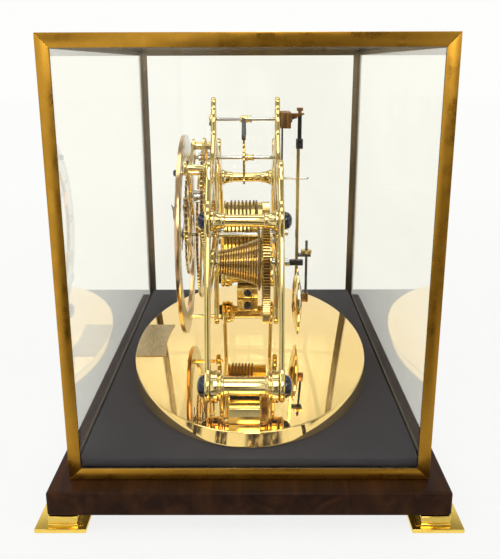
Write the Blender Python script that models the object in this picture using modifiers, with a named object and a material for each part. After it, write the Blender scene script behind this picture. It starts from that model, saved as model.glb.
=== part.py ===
"""Skeleton clock on an oval plate, under a glazed brass case on a wooden base.

The dial faces -Y, +X is at the viewer's right, +Z is up, and the origin is the
centre of the feet's footprint, on the surface that they stand on.
"""

import math

import bmesh
import bpy
import numpy as np
from mathutils import Matrix, Vector

# Named dimensions, in metres unless the name says otherwise.
GAP = 0.0003                # between pieces that touch
WELD = 0.00001              # merge distance
PAST = 0.001                # how far a cutter reaches past what it cuts
STAGGER = 0.00005           # keeps the faces of shapes that are joined apart
FLAT_DEG = 0.2              # faces this close to one plane are merged
HOLE_SIDES = 8              # a drilled hole clears its pivot at the flats

# feet
FOOT_PLATE_SIDE = 0.036
FOOT_PLATE_H = 0.003
FOOT_BLOCK_SIDE = 0.021
FOOT_BLOCK_H = 0.0085
FOOT_GROOVE_LOW = 0.0022
FOOT_GROOVE_H = 0.0014
FOOT_GROOVE_DEPTH = 0.0009
FOOT_REACH_X = 0.003
FOOT_REACH_Y = 0.009

# wooden base
BOARD_X = 0.454
BOARD_Y = 0.280
BOARD_H = 0.0185
BOARD_ROUND = 0.0022
PLATFORM_X = 0.408
PLATFORM_Y = 0.241
PLATFORM_H = 0.0133

# glazed case
CASE_X = 0.421
CASE_Y = 0.254
CASE_H = 0.300
ANGLE_WIDTH = 0.0087
ANGLE_THICK = 0.0016
GLASS_THICK = 0.0022

# oval plate
OVAL_RX = 0.1906
OVAL_RY = 0.1094
OVAL_H = 0.0116
OVAL_BEVEL = 0.0014
OVAL_STEPS = 48

# skeleton plates and their pillars; heights are over the oval plate's top
PLATE_THICK = 0.0045
FRONT_FACE_Y = -0.034
PLATE_INNER_GAP = 0.052
LOW_PILLAR_X = 0.152
LOW_PILLAR_H = 0.0204
HIGH_PILLAR_X = 0.1135
HIGH_PILLAR_H = 0.1414
SIDE_SPIRE_X = 0.089
SIDE_SPIRE_H = 0.1762
SPIRE_H = 0.2295
SPIRE_KNOT_H = 0.206
BAND_HALF = 0.0052
LEG_HALF = 0.0060
ARCH_SAG = 0.0104
BAR_SAG = 0.0052
LEG_BULGE = 0.0060
BRACE_BULGE = 0.0052
SIDE_KNOT_R = 0.0090
KNOT_R = 0.0140
BOSS_R = 0.0125
ESCAPE_BOSS_R = 0.0083
LOW_BOSS_R = 0.0078
THIRD_BOSS_R = 0.0073
BOSS_SIDES = 10
LOW_PILLAR_R = 0.0075
LOW_COLLAR_R = 0.0125
LOW_COLLAR_W = 0.0077
HIGH_PILLAR_R = 0.0048
HIGH_BEAD_R = 0.0058
HIGH_FLARE_R = 0.0065
HIGH_COLLAR_R = 0.0082
HIGH_COLLAR_W = 0.0105
HIGH_COLLAR_SHARES = (0.16, 0.42, 0.76)
LOW_PILLAR_STEPS = 14
HIGH_PILLAR_STEPS = 9
STUB_R = 0.0030
STUB_INTO_CAP = 0.0028
CAP_R = 0.0090
HIGH_CAP_R = 0.0068
CAP_H = 0.0060
CAP_RIM_H = 0.0016
CAP_STEPS = 8
CAP_RINGS = 2
SEAT_X = 0.045
SEAT_Y = 0.0237
SEAT_EDGE = 0.0008

# arbor centres, X and height over the oval plate
CENTRE_AT = (0.0, 0.1047)
FUSEE_AT = (0.0548, 0.0925)
BARREL_AT = (-0.064, 0.092)
THIRD_AT = (0.0441, 0.1485)
ESCAPE_AT = (0.0, 0.176)
PALLET_AT = (0.0, 0.210)
MINUTE_AT = (0.031, 0.1355)
DIAL_FOOT_LOW = (0.0, 0.0242)
DIAL_FOOT_FAR = (-0.055, 0.1697)
DIAL_FOOT_NEAR = (0.055, 0.1697)
POST_MID = (0.0, 0.1865)
POST_SIDE = (0.0915, 0.179)

# teeth
GREAT_TEETH = 132
CENTRE_LEAVES = 12
WHEEL_TEETH = 84
PINION_LEAVES = 7
ESCAPE_TEETH = 30
CANNON_TEETH = 12
MINUTE_TEETH = 36
MINUTE_LEAVES = 8
HOUR_TEETH = 32
RATCHET_TEETH = 16
ADDENDUM_SHARE_WHEEL = 0.90
DEDENDUM_SHARE_WHEEL = 1.70
TIP_SHARE_WHEEL = 0.10
ADDENDUM_SHARE_LEAF = 0.70
DEDENDUM_SHARE_LEAF = 1.20
ROOT_SHARE_LEAF = 0.26
TIP_SHARE_LEAF = 0.09

# where each wheel lies, front face and rear face
GREAT_Y = (0.011, 0.017)
CENTRE_PINION_Y = (0.0095, 0.0185)
CENTRE_WHEEL_Y = (-0.046, -0.044)
THIRD_WHEEL_Y = (-0.039, -0.037)
THIRD_PINION_Y = (-0.048, -0.0420)
ESCAPE_PINION_Y = (-0.046, -0.0362)
ESCAPE_WHEEL_Y = (-0.0059, -0.0041)
PALLET_Y = (-0.0070, -0.0030)
CANNON_Y = (-0.0542, -0.0524)
HOUR_Y = (-0.0576, -0.0558)
MINUTE_LEAVES_Y = (-0.0578, -0.0546)
RATCHET_Y = (0.0273, 0.0300)

# wheels
RIM_WIDTH = 0.0046
ARM_WIDTH = 0.0042
HUB_R = 0.0078
GREAT_HUB_R = 0.0187
ARMS = 5
SMALL_ARMS = 4
ESCAPE_TIP_R = 0.0241
ESCAPE_ROOT_SHARE = 0.86
ESCAPE_LEAN_SHARE = 0.62
ESCAPE_TIP_SHARE = 0.08
ESCAPE_RIM_WIDTH = 0.0019
ESCAPE_ARM_WIDTH = 0.0016
ESCAPE_HUB_R = 0.0040
ESCAPE_COLLET_R = 0.0034
ESCAPE_COLLET_LENGTH = 0.0080
RATCHET_R = 0.0140
RATCHET_ROOT_SHARE = 0.86

# arbors
PIVOT_R = 0.0011
ARBOR_R = 0.0021
FINE_ARBOR_R = 0.0016
COLLET_R = 0.0048
FRONT_ARBOR_R = 0.0015
ARBOR_FRONT_Y = -0.0655
FUSEE_ARBOR_R = 0.0040
FUSEE_PIVOT_R = 0.0020
WINDING_R = 0.00335
WINDING_SQUARE = 0.0048
WINDING_SQUARE_Y = 0.0340
WINDING_END_Y = 0.0460
BARREL_ARBOR_R = 0.0050
BARREL_PIVOT_R = 0.0030
BARREL_REAR_R = 0.0040
BARREL_END_Y = 0.0390
BARREL_SQUARE_SHARE = 0.80
BARREL_STEPS = 22
ARBOR_STEPS = 10

# fusee
FUSEE_FRONT_Y = -0.0269
FUSEE_REAR_Y = 0.0100
FUSEE_SMALL_R = 0.0105
FUSEE_LARGE_R = 0.0225
FUSEE_TURNS = 16
FUSEE_GROOVE_SHARE = 0.30
FUSEE_CURVE_SHARE = 0.72
FUSEE_STEPS = 14

# barrel, mainspring and line
BARREL_R = 0.0310
BARREL_Y = (-0.0260, 0.0180)
BARREL_WALL = 0.0020
BARREL_RIM = 0.0016
BARREL_RIM_W = 0.0016
COVER_THICK = 0.0020
SPRING_THICK = 0.0007
SPRING_TURNS = 4
SPRING_POINTS = 10
SPRING_INNER_R = 0.0078
SPRING_OUTER_R = 0.0270
SPRING_MARGIN = 0.0025
LINE_R = 0.0009
LINE_TURNS = 7
LINE_START_Y = -0.0225
LINE_END_Y = 0.0040
LOOP_POINTS = 24
LINE_LEAVES_DEG = 80.0
LINE_ON_STEP_DEG = 15.0
LINE_OFF_STEP_DEG = 18.0
LINE_ON_STEPS = 2
LINE_OFF_STEPS = 11

# click
CLICK_AT = (-0.0465, 0.0988)
CLICK_STUD_R = 0.0030
CLICK_STUB_R = 0.0012
CLICK_TEETH_BACK = 2
CLICK_AHEAD_SHARES = (0.10, 0.75, 1.40, 2.0, 2.05, 1.20, 0.20)

# train bridge
BRIDGE_Y = (-0.0515, -0.0490)
POST_R = 0.0040
POST_STUB_R = 0.0020
BRIDGE_HALF = 0.0042
BRIDGE_BOSS_R = 0.0060
STUD_R = 0.0016
STUD_END_Y = -0.0590

# motion work and hands
CANNON_PIPE_R = 0.0030
CANNON_FRONT_Y = -0.0645
HOUR_PIPE_R = 0.0046
HOUR_FRONT_Y = -0.0626
HOUR_HAND_Y = (-0.0624, -0.0616)
MINUTE_HAND_Y = (-0.0643, -0.0635)
HOUR_HAND_LENGTH = 0.0560
MINUTE_HAND_LENGTH = 0.0830
HAND_TAIL = 0.0160
HAND_HUB_R = 0.0068
HAND_HALF = 0.0014
HAND_EYE_R = 0.0062
HAND_EYE_BORE_SHARE = 0.60
HAND_EYE_AT_SHARE = 0.74
HAND_TIP_SHARE = 0.80
HAND_KNOB_R = 0.0034
HOUR_AT_DEG = 305.0
MINUTE_AT_DEG = 60.0

# chapter ring
RING_Y = (-0.0606, -0.0570)
RING_OUTER_R = 0.0915
RING_INNER_R = 0.0720
DIAL_FOOT_R = 0.0019
DIAL_FOOT_FRONT_Y = -0.0638
DIAL_FOOT_HEAD_R = 0.0030
DIAL_FOOT_TOP_R = 0.0021
DIAL_FOOT_NEAR_END_Y = -0.0410
DIAL_FOOT_END_Y = -0.0272
RING_STEPS = 40

# suspension cock
COCK_FOOT_X = 0.0098
COCK_FOOT_HALF = 0.0030
COCK_H = (0.2025, 0.2165)
COCK_BAR_Y = (0.0330, 0.0365)
COCK_ARM_HALF = 0.0036
COCK_ARM_TIP_HALF = 0.0026
COCK_ARM_H = (0.2090, 0.2150)
COCK_ARM_END_Y = 0.0486
SUSPENSION_Y = 0.0448
STRIP_HALF_Y = 0.0018
STRIP_THICK = 0.0005
STRIP_SUNK = 0.0004
STRIP_OVER_CHOP_FOOT = 0.0012
SLOT_X = 0.0014
COCK_NUT_R = 0.0028
COCK_NUT_H = 0.0048

# pendulum
ROD_Y = (0.0423, 0.0453)
ROD_HALF_X = 0.0030
ROD_TOP_H = 0.1925
CHOP_Y = (0.0418, 0.0478)
CHOP_H = (0.1838, 0.1925)
CHOP_HALF_X = 0.0034
CRUTCH_SLOT_RUN = 0.0050
CRUTCH_SLOT_HALF = 0.0014
BOB_R = 0.0322
BOB_H = 0.0398
BOB_Y = (0.0397, 0.0498)
BOB_EDGE = 0.0012
BOB_RINGS = 3
BOB_STEPS = 26
BOB_CHANNEL_PAST = 0.0040
ROD_IN_BOB_H = 0.0240
RATING_Y = 0.0530
RATING_R = 0.0013
RATING_TOP_H = 0.0990
RATING_FOOT_H = (0.0395, 0.0480)
RATING_FOOT_HALF = 0.0035
RATING_PEG_R = 0.0016
RATING_PEG_Y = 0.0478
RATING_FOOT_PAST = 0.00208
BRACKET_H = (0.0840, 0.0862)
BRACKET_HALF = 0.0040
NUT_R = 0.0050
NUT_H = 0.0036
NUT_FLUTES = 12
FLUTE_SHARE = 0.92
THREAD_CLEAR = 0.0004

# pallets and crutch
PALLET_GAP = 0.0016
PALLET_SPAN_DEG = 45.0
PALLET_ARM_HALF = 0.0019
PALLET_PAD = 0.0026
PALLET_COLLET_R = 0.0032
PALLET_OUT_SHARE = 1.9
PALLET_IN_SHARE = 0.25
PALLET_TIP_SHARES = (0.5, 0.3, 0.9)
PALLET_ROOT_SHARES = (1.1, 0.6)
CRUTCH_Y = 0.0293
CRUTCH_R = 0.0008
CRUTCH_HUB_R = 0.0034
CRUTCH_ROOT_SHARE = 0.75
CRUTCH_HUB_Y = (0.0280, 0.0306)
CRUTCH_LOW_H = 0.1570
CRUTCH_PIN_R = 0.0010
CRUTCH_PIN_BACK = 0.0012
CRUTCH_PIN_END_Y = 0.0537

# Worked out from the dimensions.
BOARD_Z = FOOT_PLATE_H + FOOT_BLOCK_H
BOARD_TOP_Z = BOARD_Z + BOARD_H
PLATFORM_TOP_Z = BOARD_TOP_Z + PLATFORM_H
OVAL_TOP_Z = PLATFORM_TOP_Z + OVAL_H
REAR_INNER_Y = FRONT_FACE_Y + PLATE_THICK + PLATE_INNER_GAP
REAR_FACE_Y = REAR_INNER_Y + PLATE_THICK
FRONT_INNER_Y = FRONT_FACE_Y + PLATE_THICK
FRONT_PLATE_Y = (FRONT_FACE_Y, FRONT_INNER_Y)
REAR_PLATE_Y = (REAR_INNER_Y, REAR_FACE_Y)
SEAT_H = LOW_PILLAR_H - LOW_PILLAR_R - GAP
STRIP_TOP_H = COCK_ARM_H[1] - STRIP_SUNK
STRIP_LOW_H = CHOP_H[0] + STRIP_OVER_CHOP_FOOT
CRUTCH_SLOT_H = (CRUTCH_LOW_H - CRUTCH_SLOT_RUN, CRUTCH_LOW_H + CRUTCH_SLOT_RUN)
LINE_COIL_R = BARREL_R + LINE_R + GAP

# Colours.
BRASS = (0.78, 0.57, 0.24)
POLISHED = (0.86, 0.66, 0.32)
AGED = (0.50, 0.30, 0.12)
STEEL = (0.62, 0.62, 0.63)
BLUED = (0.05, 0.08, 0.20)
DARK = (0.12, 0.10, 0.09)
WOOD = (0.10, 0.03, 0.02)
SILVERED = (0.78, 0.77, 0.74)
GUT = (0.62, 0.50, 0.28)
CLEAR = (0.90, 0.95, 0.93)


def collection(name):
    made = bpy.data.collections.new(name)
    bpy.context.scene.collection.children.link(made)
    return made


def clear_scene():
    for old in list(bpy.data.objects):
        bpy.data.objects.remove(old, do_unlink=True)


clear_scene()
PARTS = collection("skeleton_clock")
CUTTERS = collection("cutters")


def material(name, colour, rough, metal, clear=0.0):
    made = bpy.data.materials.new(name)
    made.use_nodes = True
    shader = made.node_tree.nodes["Principled BSDF"]
    shader.inputs["Base Color"].default_value = (*colour, 1.0)
    shader.inputs["Roughness"].default_value = rough
    shader.inputs["Metallic"].default_value = metal
    shader.inputs["Transmission Weight"].default_value = clear
    return made


def place(obj, colour, rough=0.3, metal=1.0, clear=0.0):
    """Give a finished piece its own material and smooth round faces."""
    obj.data.materials.clear()
    obj.data.materials.append(material(obj.name, colour, rough, metal, clear))
    obj.data.shade_smooth()
    obj.data.set_sharp_from_angle(angle=math.radians(35.0))
    return obj


def world(spot, y=0.0):
    """A point given by X and its height over the oval plate."""
    return Vector((spot[0], y, OVAL_TOP_Z + spot[1]))


def finish(name, bm, into=None):
    bmesh.ops.remove_doubles(bm, verts=bm.verts, dist=WELD)
    bmesh.ops.recalc_face_normals(bm, faces=bm.faces)
    mesh = bpy.data.meshes.new(name)
    bm.to_mesh(mesh)
    bm.free()
    obj = bpy.data.objects.new(name, mesh)
    (into or PARTS).objects.link(obj)
    return obj


def as_mesh(obj, name):
    """The evaluated shape of an object as a plain mesh object in world space."""
    graph = bpy.context.evaluated_depsgraph_get()
    graph.update()
    mesh = bpy.data.meshes.new_from_object(obj.evaluated_get(graph))
    mesh.transform(obj.matrix_world)
    bm = bmesh.new()
    bm.from_mesh(mesh)
    bpy.data.objects.remove(obj, do_unlink=True)
    bpy.data.meshes.remove(mesh)
    return finish(name, bm)


def box(name, low, high, bevel=0.0, segments=2):
    bm = bmesh.new()
    size = [b - a for a, b in zip(low, high)]
    centre = [(a + b) / 2 for a, b in zip(low, high)]
    matrix = Matrix.Translation(centre) @ Matrix.Diagonal((*size, 1.0))
    bmesh.ops.create_cube(bm, size=1.0, matrix=matrix)
    if bevel:
        bmesh.ops.bevel(bm, geom=bm.edges, offset=bevel, segments=segments,
                        profile=0.5, affect="EDGES")
    return finish(name, bm)


def spun(name, profile, spot=None, steps=24, closed=False):
    """Turn a profile of (radius, y) points, listed from rear to front, about
    an axis along Y through a spot given by X and height."""
    mesh = bpy.data.meshes.new(name)
    verts = [(r, 0.0, y) for r, y in profile]
    edges = [(k, k + 1) for k in range(len(verts) - 1)]
    if closed:
        edges.append((len(verts) - 1, 0))
    mesh.from_pydata(verts, edges, [])
    obj = bpy.data.objects.new(name, mesh)
    PARTS.objects.link(obj)
    screw = obj.modifiers.new("turn", "SCREW")
    screw.steps = steps
    screw.render_steps = steps
    screw.use_merge_vertices = True
    screw.merge_threshold = WELD
    if spot is None:
        obj.matrix_world = Matrix.Identity(4)
    else:
        obj.matrix_world = Matrix.Translation(world(spot)) @ Matrix.Rotation(-math.pi / 2, 4, "X")
    bpy.context.view_layer.update()
    return as_mesh(obj, name)


def flat(name, loops, y_range, spot=(0.0, 0.0), turn=0.0):
    """Extrude flat outlines, drawn in X and height, between two Y faces."""
    curve = bpy.data.curves.new(name, "CURVE")
    curve.dimensions = "2D"
    curve.fill_mode = "BOTH"
    curve.extrude = (y_range[1] - y_range[0]) / 2
    for loop in loops:
        spline = curve.splines.new("POLY")
        spline.points.add(len(loop) - 1)
        for point, (x, h) in zip(spline.points, loop):
            point.co = (x, h, 0.0, 1.0)
        spline.use_cyclic_u = True
    obj = bpy.data.objects.new(name, curve)
    PARTS.objects.link(obj)
    middle = (y_range[0] + y_range[1]) / 2
    obj.matrix_world = (
        Matrix.Translation(world(spot, middle))
        @ Matrix.Rotation(turn, 4, "Y")
        @ Matrix.Rotation(math.pi / 2, 4, "X")
    )
    bpy.context.view_layer.update()
    return as_mesh(obj, name)


def tube(name, points, radius, resolution=1):
    """A round wire through the given points, with closed ends."""
    curve = bpy.data.curves.new(name, "CURVE")
    curve.dimensions = "3D"
    curve.bevel_depth = radius
    curve.bevel_resolution = resolution
    curve.use_fill_caps = True
    spline = curve.splines.new("POLY")
    spline.points.add(len(points) - 1)
    for point, co in zip(spline.points, points):
        point.co = (*co, 1.0)
    obj = bpy.data.objects.new(name, curve)
    PARTS.objects.link(obj)
    bpy.context.view_layer.update()
    return as_mesh(obj, name)


def boolean(obj, other, operation):
    """Cut a piece with another shape, or join the shape to it."""
    CUTTERS.objects.link(other)
    PARTS.objects.unlink(other)
    other.hide_render = True
    other.display_type = "WIRE"
    modifier = obj.modifiers.new(operation.lower(), "BOOLEAN")
    modifier.operation = operation
    modifier.object = other
    bpy.context.view_layer.update()
    graph = bpy.context.evaluated_depsgraph_get()
    mesh = bpy.data.meshes.new_from_object(obj.evaluated_get(graph))
    old = obj.data
    obj.modifiers.clear()
    obj.data = mesh
    bpy.data.meshes.remove(old)
    bpy.data.objects.remove(other, do_unlink=True)
    return obj


def cut(obj, *cutters):
    for cutter in cutters:
        boolean(obj, cutter, "DIFFERENCE")
    return obj


def join(obj, *others):
    for other in others:
        boolean(obj, other, "UNION")
    return obj


def tidy(obj, angle=FLAT_DEG):
    """Merge faces that lie in one plane."""
    bm = bmesh.new()
    bm.from_mesh(obj.data)
    bmesh.ops.remove_doubles(bm, verts=bm.verts, dist=WELD)
    bmesh.ops.dissolve_limit(bm, angle_limit=math.radians(angle), verts=bm.verts, edges=bm.edges)
    bm.to_mesh(obj.data)
    bm.free()
    return obj


def sheet(name, outlines, y_range, holes=()):
    """Join flat outlines into one sheet between two Y faces. They are joined
    a little too thick, each by another amount, and the slab then trims them.
    The holes are given as (spot, radius)."""
    made = None
    for k, loop in enumerate(outlines):
        piece = flat(f"{name}_{k}", [loop], grow(y_range, PAST + k * STAGGER))
        made = piece if made is None else join(made, piece)
    slab = box("slab", (-BOARD_X, y_range[0], 0.0), (BOARD_X, y_range[1], BOARD_X))
    boolean(made, slab, "INTERSECT")
    for spot, radius in holes:
        across = radius / math.cos(math.pi / HOLE_SIDES)
        cut(made, rod("hole", spot, across, grow(y_range), HOLE_SIDES))
    tidy(made)
    made.name = name
    return made


def rod(name, spot, radius, y_range, steps=16):
    return spun(name, [(0.0, y_range[1]), (radius, y_range[1]), (radius, y_range[0]),
                       (0.0, y_range[0])], spot, steps)


def washer(name, spot, radius, bore, y_range, steps=24):
    return spun(name, [(radius, y_range[1]), (radius, y_range[0]), (bore, y_range[0]),
                       (bore, y_range[1])], spot, steps, closed=True)


def grow(y_range, extra=PAST):
    return (y_range[0] - extra, y_range[1] + extra)


def circle(radius, count, centre=(0.0, 0.0), start=0.0):
    return [(centre[0] + radius * math.cos(start + math.tau * k / count),
             centre[1] + radius * math.sin(start + math.tau * k / count)) for k in range(count)]


def smooth(points, per):
    """Points of a smooth curve through the given ones."""
    pts = [Vector(p) for p in points]
    pts = [2 * pts[0] - pts[1]] + pts + [2 * pts[-1] - pts[-2]]
    out = []
    for a, b, c, d in zip(pts, pts[1:], pts[2:], pts[3:]):
        for k in range(per):
            t = k / per
            out.append(0.5 * ((2 * b) + (c - a) * t + (2 * a - 5 * b + 4 * c - d) * t * t
                              + (3 * b - a - 3 * c + d) * t ** 3))
    out.append(pts[-2])
    return [tuple(p) for p in out]


def strip(points, half, ends=3):
    """The outline of a band with round ends along a line of points."""
    pts = [Vector(p) for p in points]
    ways = [(b - a).normalized() for a, b in zip(pts, pts[1:])]
    left = []
    right = []
    for k, point in enumerate(pts):
        before = ways[max(k - 1, 0)]
        after = ways[min(k, len(ways) - 1)]
        way = (before + after).normalized()
        side = Vector((-way.y, way.x)) / max(way.dot(after), 0.5)
        left.append(point + side * half)
        right.append(point - side * half)

    def cap(centre, start, way):
        return [centre + Matrix.Rotation(-math.pi * k / ends, 2) @ start * half
                for k in range(1, ends)]

    head = cap(pts[-1], Vector((-ways[-1].y, ways[-1].x)), ways[-1])
    tail = cap(pts[0], Vector((ways[0].y, -ways[0].x)), ways[0])
    return [tuple(p) for p in left + head + right[::-1] + tail]


def gear_loop(teeth, corners, phase):
    """Teeth whose corners are (radius, share of a tooth's angle from its
    middle), counted round the wheel."""
    step = math.tau / teeth
    return [(radius * math.cos(phase + (k + share) * step),
             radius * math.sin(phase + (k + share) * step))
            for k in range(teeth) for radius, share in corners]


def module(a, b, teeth_a, teeth_b):
    return 2 * (Vector(a) - Vector(b)).length / (teeth_a + teeth_b)


def wheel_loop(teeth, mod, phase, pointed=False):
    """A wheel's teeth: flat or pointed tips, and spaces that narrow to their
    floor."""
    floor = mod * (teeth / 2 - DEDENDUM_SHARE_WHEEL)
    top = mod * (teeth / 2 + ADDENDUM_SHARE_WHEEL)
    tip = TIP_SHARE_WHEEL
    if pointed:
        return gear_loop(teeth, ((floor, -0.5), (top, 0.0)), phase)
    return gear_loop(teeth, ((floor, -0.5), (top, -tip), (top, tip)), phase)


def leaf_loop(teeth, mod, phase):
    """A pinion's leaves: slender, with wide spaces."""
    floor = mod * (teeth / 2 - DEDENDUM_SHARE_LEAF)
    top = mod * (teeth / 2 + ADDENDUM_SHARE_LEAF)
    root = ROOT_SHARE_LEAF
    tip = TIP_SHARE_LEAF
    return gear_loop(teeth, ((floor, -root), (top, -tip), (top, tip), (floor, root)), phase)


def bearing(a, b):
    """Angle of the line from one spot to another, in the dial's plane."""
    return math.atan2(b[1] - a[1], b[0] - a[0])


def meshed(wheel_at, leaf_at, wheel_phase, wheel_teeth, leaf_teeth):
    """Phase of the pinion whose space takes the wheel's teeth on the line of
    centres, for a wheel whose own teeth stand at the given phase."""
    line = bearing(wheel_at, leaf_at)
    offset = (line - wheel_phase) * wheel_teeth
    return line + math.pi + (math.pi + offset) / leaf_teeth


def arm_openings(hub, rim, arms, width, turn=0.0, per=2):
    """The openings between a wheel's arms."""
    openings = []
    for k in range(arms):
        low = turn + math.tau * k / arms
        high = turn + math.tau * (k + 1) / arms
        loop = []
        inset_rim = width / 2 / rim
        inset_hub = width / 2 / hub
        for n in range(per + 1):
            angle = low + inset_rim + (high - low - 2 * inset_rim) * n / per
            loop.append((rim * math.cos(angle), rim * math.sin(angle)))
        for n in range(2):
            angle = high - inset_hub - (high - low - 2 * inset_hub) * n
            loop.append((hub * math.cos(angle), hub * math.sin(angle)))
        openings.append(loop)
    return openings


def make_feet():
    for side, sx in (("left", -1), ("right", 1)):
        for end, sy in (("front", -1), ("rear", 1)):
            outer_x = BOARD_X / 2 + FOOT_REACH_X
            outer_y = BOARD_Y / 2 + FOOT_REACH_Y

            def span(corner_x, corner_y, size, z0, z1, inset=0.0):
                xs = sorted((sx * (corner_x - inset), sx * (corner_x - size + inset)))
                ys = sorted((sy * (corner_y - inset), sy * (corner_y - size + inset)))
                return (xs[0], ys[0], z0), (xs[1], ys[1], z1)

            name = f"foot_{end}_{side}"
            foot = box(name, *span(outer_x, outer_y, FOOT_PLATE_SIDE, 0.0, FOOT_PLATE_H))
            groove = FOOT_PLATE_H + FOOT_GROOVE_LOW
            for low, high, inset in (
                (FOOT_PLATE_H - PAST, groove, 0.0),
                (groove - PAST, groove + FOOT_GROOVE_H + PAST, FOOT_GROOVE_DEPTH),
                (groove + FOOT_GROOVE_H, BOARD_Z - GAP, 0.0),
            ):
                join(foot, box("block", *span(BOARD_X / 2, BOARD_Y / 2, FOOT_BLOCK_SIDE,
                                              low, high, inset)))
            place(tidy(foot), BRASS, 0.25)


def make_base():
    board = box("base_board", (-BOARD_X / 2, -BOARD_Y / 2, BOARD_Z),
                (BOARD_X / 2, BOARD_Y / 2, BOARD_TOP_Z), BOARD_ROUND, 1)
    join(board, box("platform", (-PLATFORM_X / 2, -PLATFORM_Y / 2, BOARD_TOP_Z - PAST),
                    (PLATFORM_X / 2, PLATFORM_Y / 2, PLATFORM_TOP_Z)))
    place(board, WOOD, 0.45, 0.0)
    profile = [(0.0, OVAL_TOP_Z), (OVAL_RX - OVAL_BEVEL, OVAL_TOP_Z),
               (OVAL_RX, OVAL_TOP_Z - OVAL_BEVEL), (OVAL_RX, PLATFORM_TOP_Z + GAP),
               (0.0, PLATFORM_TOP_Z + GAP)]
    plate = spun("oval_base_plate", profile, None, OVAL_STEPS)
    squeeze = Matrix.Diagonal((1.0, OVAL_RY / OVAL_RX, 1.0, 1.0))
    plate.data.transform(squeeze)
    place(plate, POLISHED, 0.06)
    for side, sx in (("left", -1), ("right", 1)):
        middle = sx * LOW_PILLAR_X
        y = (FRONT_INNER_Y + REAR_INNER_Y) / 2
        seat = box(f"pillar_seat_{side}",
                   (middle - SEAT_X / 2, y - SEAT_Y / 2, OVAL_TOP_Z + GAP),
                   (middle + SEAT_X / 2, y + SEAT_Y / 2, OVAL_TOP_Z + SEAT_H), SEAT_EDGE, 1)
        place(seat, BRASS, 0.15)


def make_case():
    low_z = BOARD_TOP_Z + GAP
    high_z = BOARD_TOP_Z + CASE_H
    hx = CASE_X / 2
    hy = CASE_Y / 2
    frame = box("case_frame", (-hx, -hy, low_z), (hx, hy, high_z))
    inner = ANGLE_THICK
    cut(frame, box("hollow", (-hx + inner, -hy + inner, low_z - PAST),
                   (hx - inner, hy - inner, high_z - inner)))
    w = ANGLE_WIDTH
    cut(frame, box("top_light", (-hx + w, -hy + w, high_z - inner - PAST),
                   (hx - w, hy - w, high_z + PAST)))
    cut(frame, box("side_light", (-hx - PAST, -hy + w, low_z + w),
                   (hx + PAST, hy - w, high_z - w)))
    cut(frame, box("front_light", (-hx + w, -hy - PAST, low_z + w),
                   (hx - w, hy + PAST, high_z - w)))
    place(tidy(frame), AGED, 0.4)
    gx = hx - inner - GAP
    gy = hy - inner - GAP
    top = high_z - inner - GAP
    t = GLASS_THICK
    z = low_z + GAP
    panes = (
        ("glass_top", (-gx, -gy, top - t), (gx, gy, top)),
        ("glass_front", (-gx, -gy, z), (gx, -gy + t, top - t - GAP)),
        ("glass_rear", (-gx, gy - t, z), (gx, gy, top - t - GAP)),
        ("glass_right", (gx - t, -gy + t + GAP, z), (gx, gy - t - GAP, top - t - GAP)),
        ("glass_left", (-gx, -gy + t + GAP, z), (-gx + t, gy - t - GAP, top - t - GAP)),
    )
    for name, low, high in panes:
        place(box(name, low, high), CLEAR, 0.02, 0.0, 1.0)


def make_plate(name, y_range, holes):
    """One skeleton plate: legs, arch, spires, bars and bosses as one outline
    cut from sheet, then drilled."""
    legs = [(LOW_PILLAR_X, LOW_PILLAR_H),
            (0.5 * (LOW_PILLAR_X + HIGH_PILLAR_X) + LEG_BULGE, 0.5 * (LOW_PILLAR_H + HIGH_PILLAR_H)),
            (HIGH_PILLAR_X, HIGH_PILLAR_H),
            (SIDE_SPIRE_X, SIDE_SPIRE_H)]
    arch = [(HIGH_PILLAR_X, HIGH_PILLAR_H),
            (0.5 * (HIGH_PILLAR_X + DIAL_FOOT_NEAR[0]), DIAL_FOOT_NEAR[1] - ARCH_SAG),
            DIAL_FOOT_NEAR,
            (0.5 * DIAL_FOOT_NEAR[0], ESCAPE_AT[1] + BRACE_BULGE),
            (0.0, SPIRE_KNOT_H)]
    brace = [CENTRE_AT, (0.5 * THIRD_AT[0] + BRACE_BULGE, 0.5 * (CENTRE_AT[1] + THIRD_AT[1])), THIRD_AT,
             DIAL_FOOT_NEAR]
    leg_share = (FUSEE_AT[1] - LOW_PILLAR_H) / (HIGH_PILLAR_H - LOW_PILLAR_H)
    leg_x = LOW_PILLAR_X + leg_share * (HIGH_PILLAR_X - LOW_PILLAR_X)
    bar = [CENTRE_AT, FUSEE_AT, (leg_x, FUSEE_AT[1] - BAR_SAG)]
    lines = []
    for line, half, per in ((legs, LEG_HALF, 2), (arch, BAND_HALF, 3), (brace, BAND_HALF, 2),
                            (bar, BAND_HALF, 2)):
        curve = smooth(line, per)
        lines.append((curve, half))
        lines.append(([(-x, h) for x, h in curve], half))
    lines.append(([DIAL_FOOT_LOW, (0.0, SPIRE_H - BAND_HALF)], BAND_HALF))
    discs = [((LOW_PILLAR_X, LOW_PILLAR_H), BOSS_R),
             ((HIGH_PILLAR_X, HIGH_PILLAR_H), BOSS_R),
             ((SIDE_SPIRE_X, SIDE_SPIRE_H), SIDE_KNOT_R)]
    discs += [((-x, h), r) for (x, h), r in discs]
    discs += [(BARREL_AT, BOSS_R), (CENTRE_AT, BOSS_R), (FUSEE_AT, BOSS_R),
              (ESCAPE_AT, ESCAPE_BOSS_R), ((0.0, SPIRE_KNOT_H), KNOT_R),
              (DIAL_FOOT_LOW, LOW_BOSS_R), (THIRD_AT, THIRD_BOSS_R)]
    outlines = [strip(line, half) for line, half in lines]
    outlines += [circle(radius, BOSS_SIDES, spot) for spot, radius in discs]
    return place(sheet(name, outlines, y_range, holes), POLISHED, 0.15)


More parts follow.
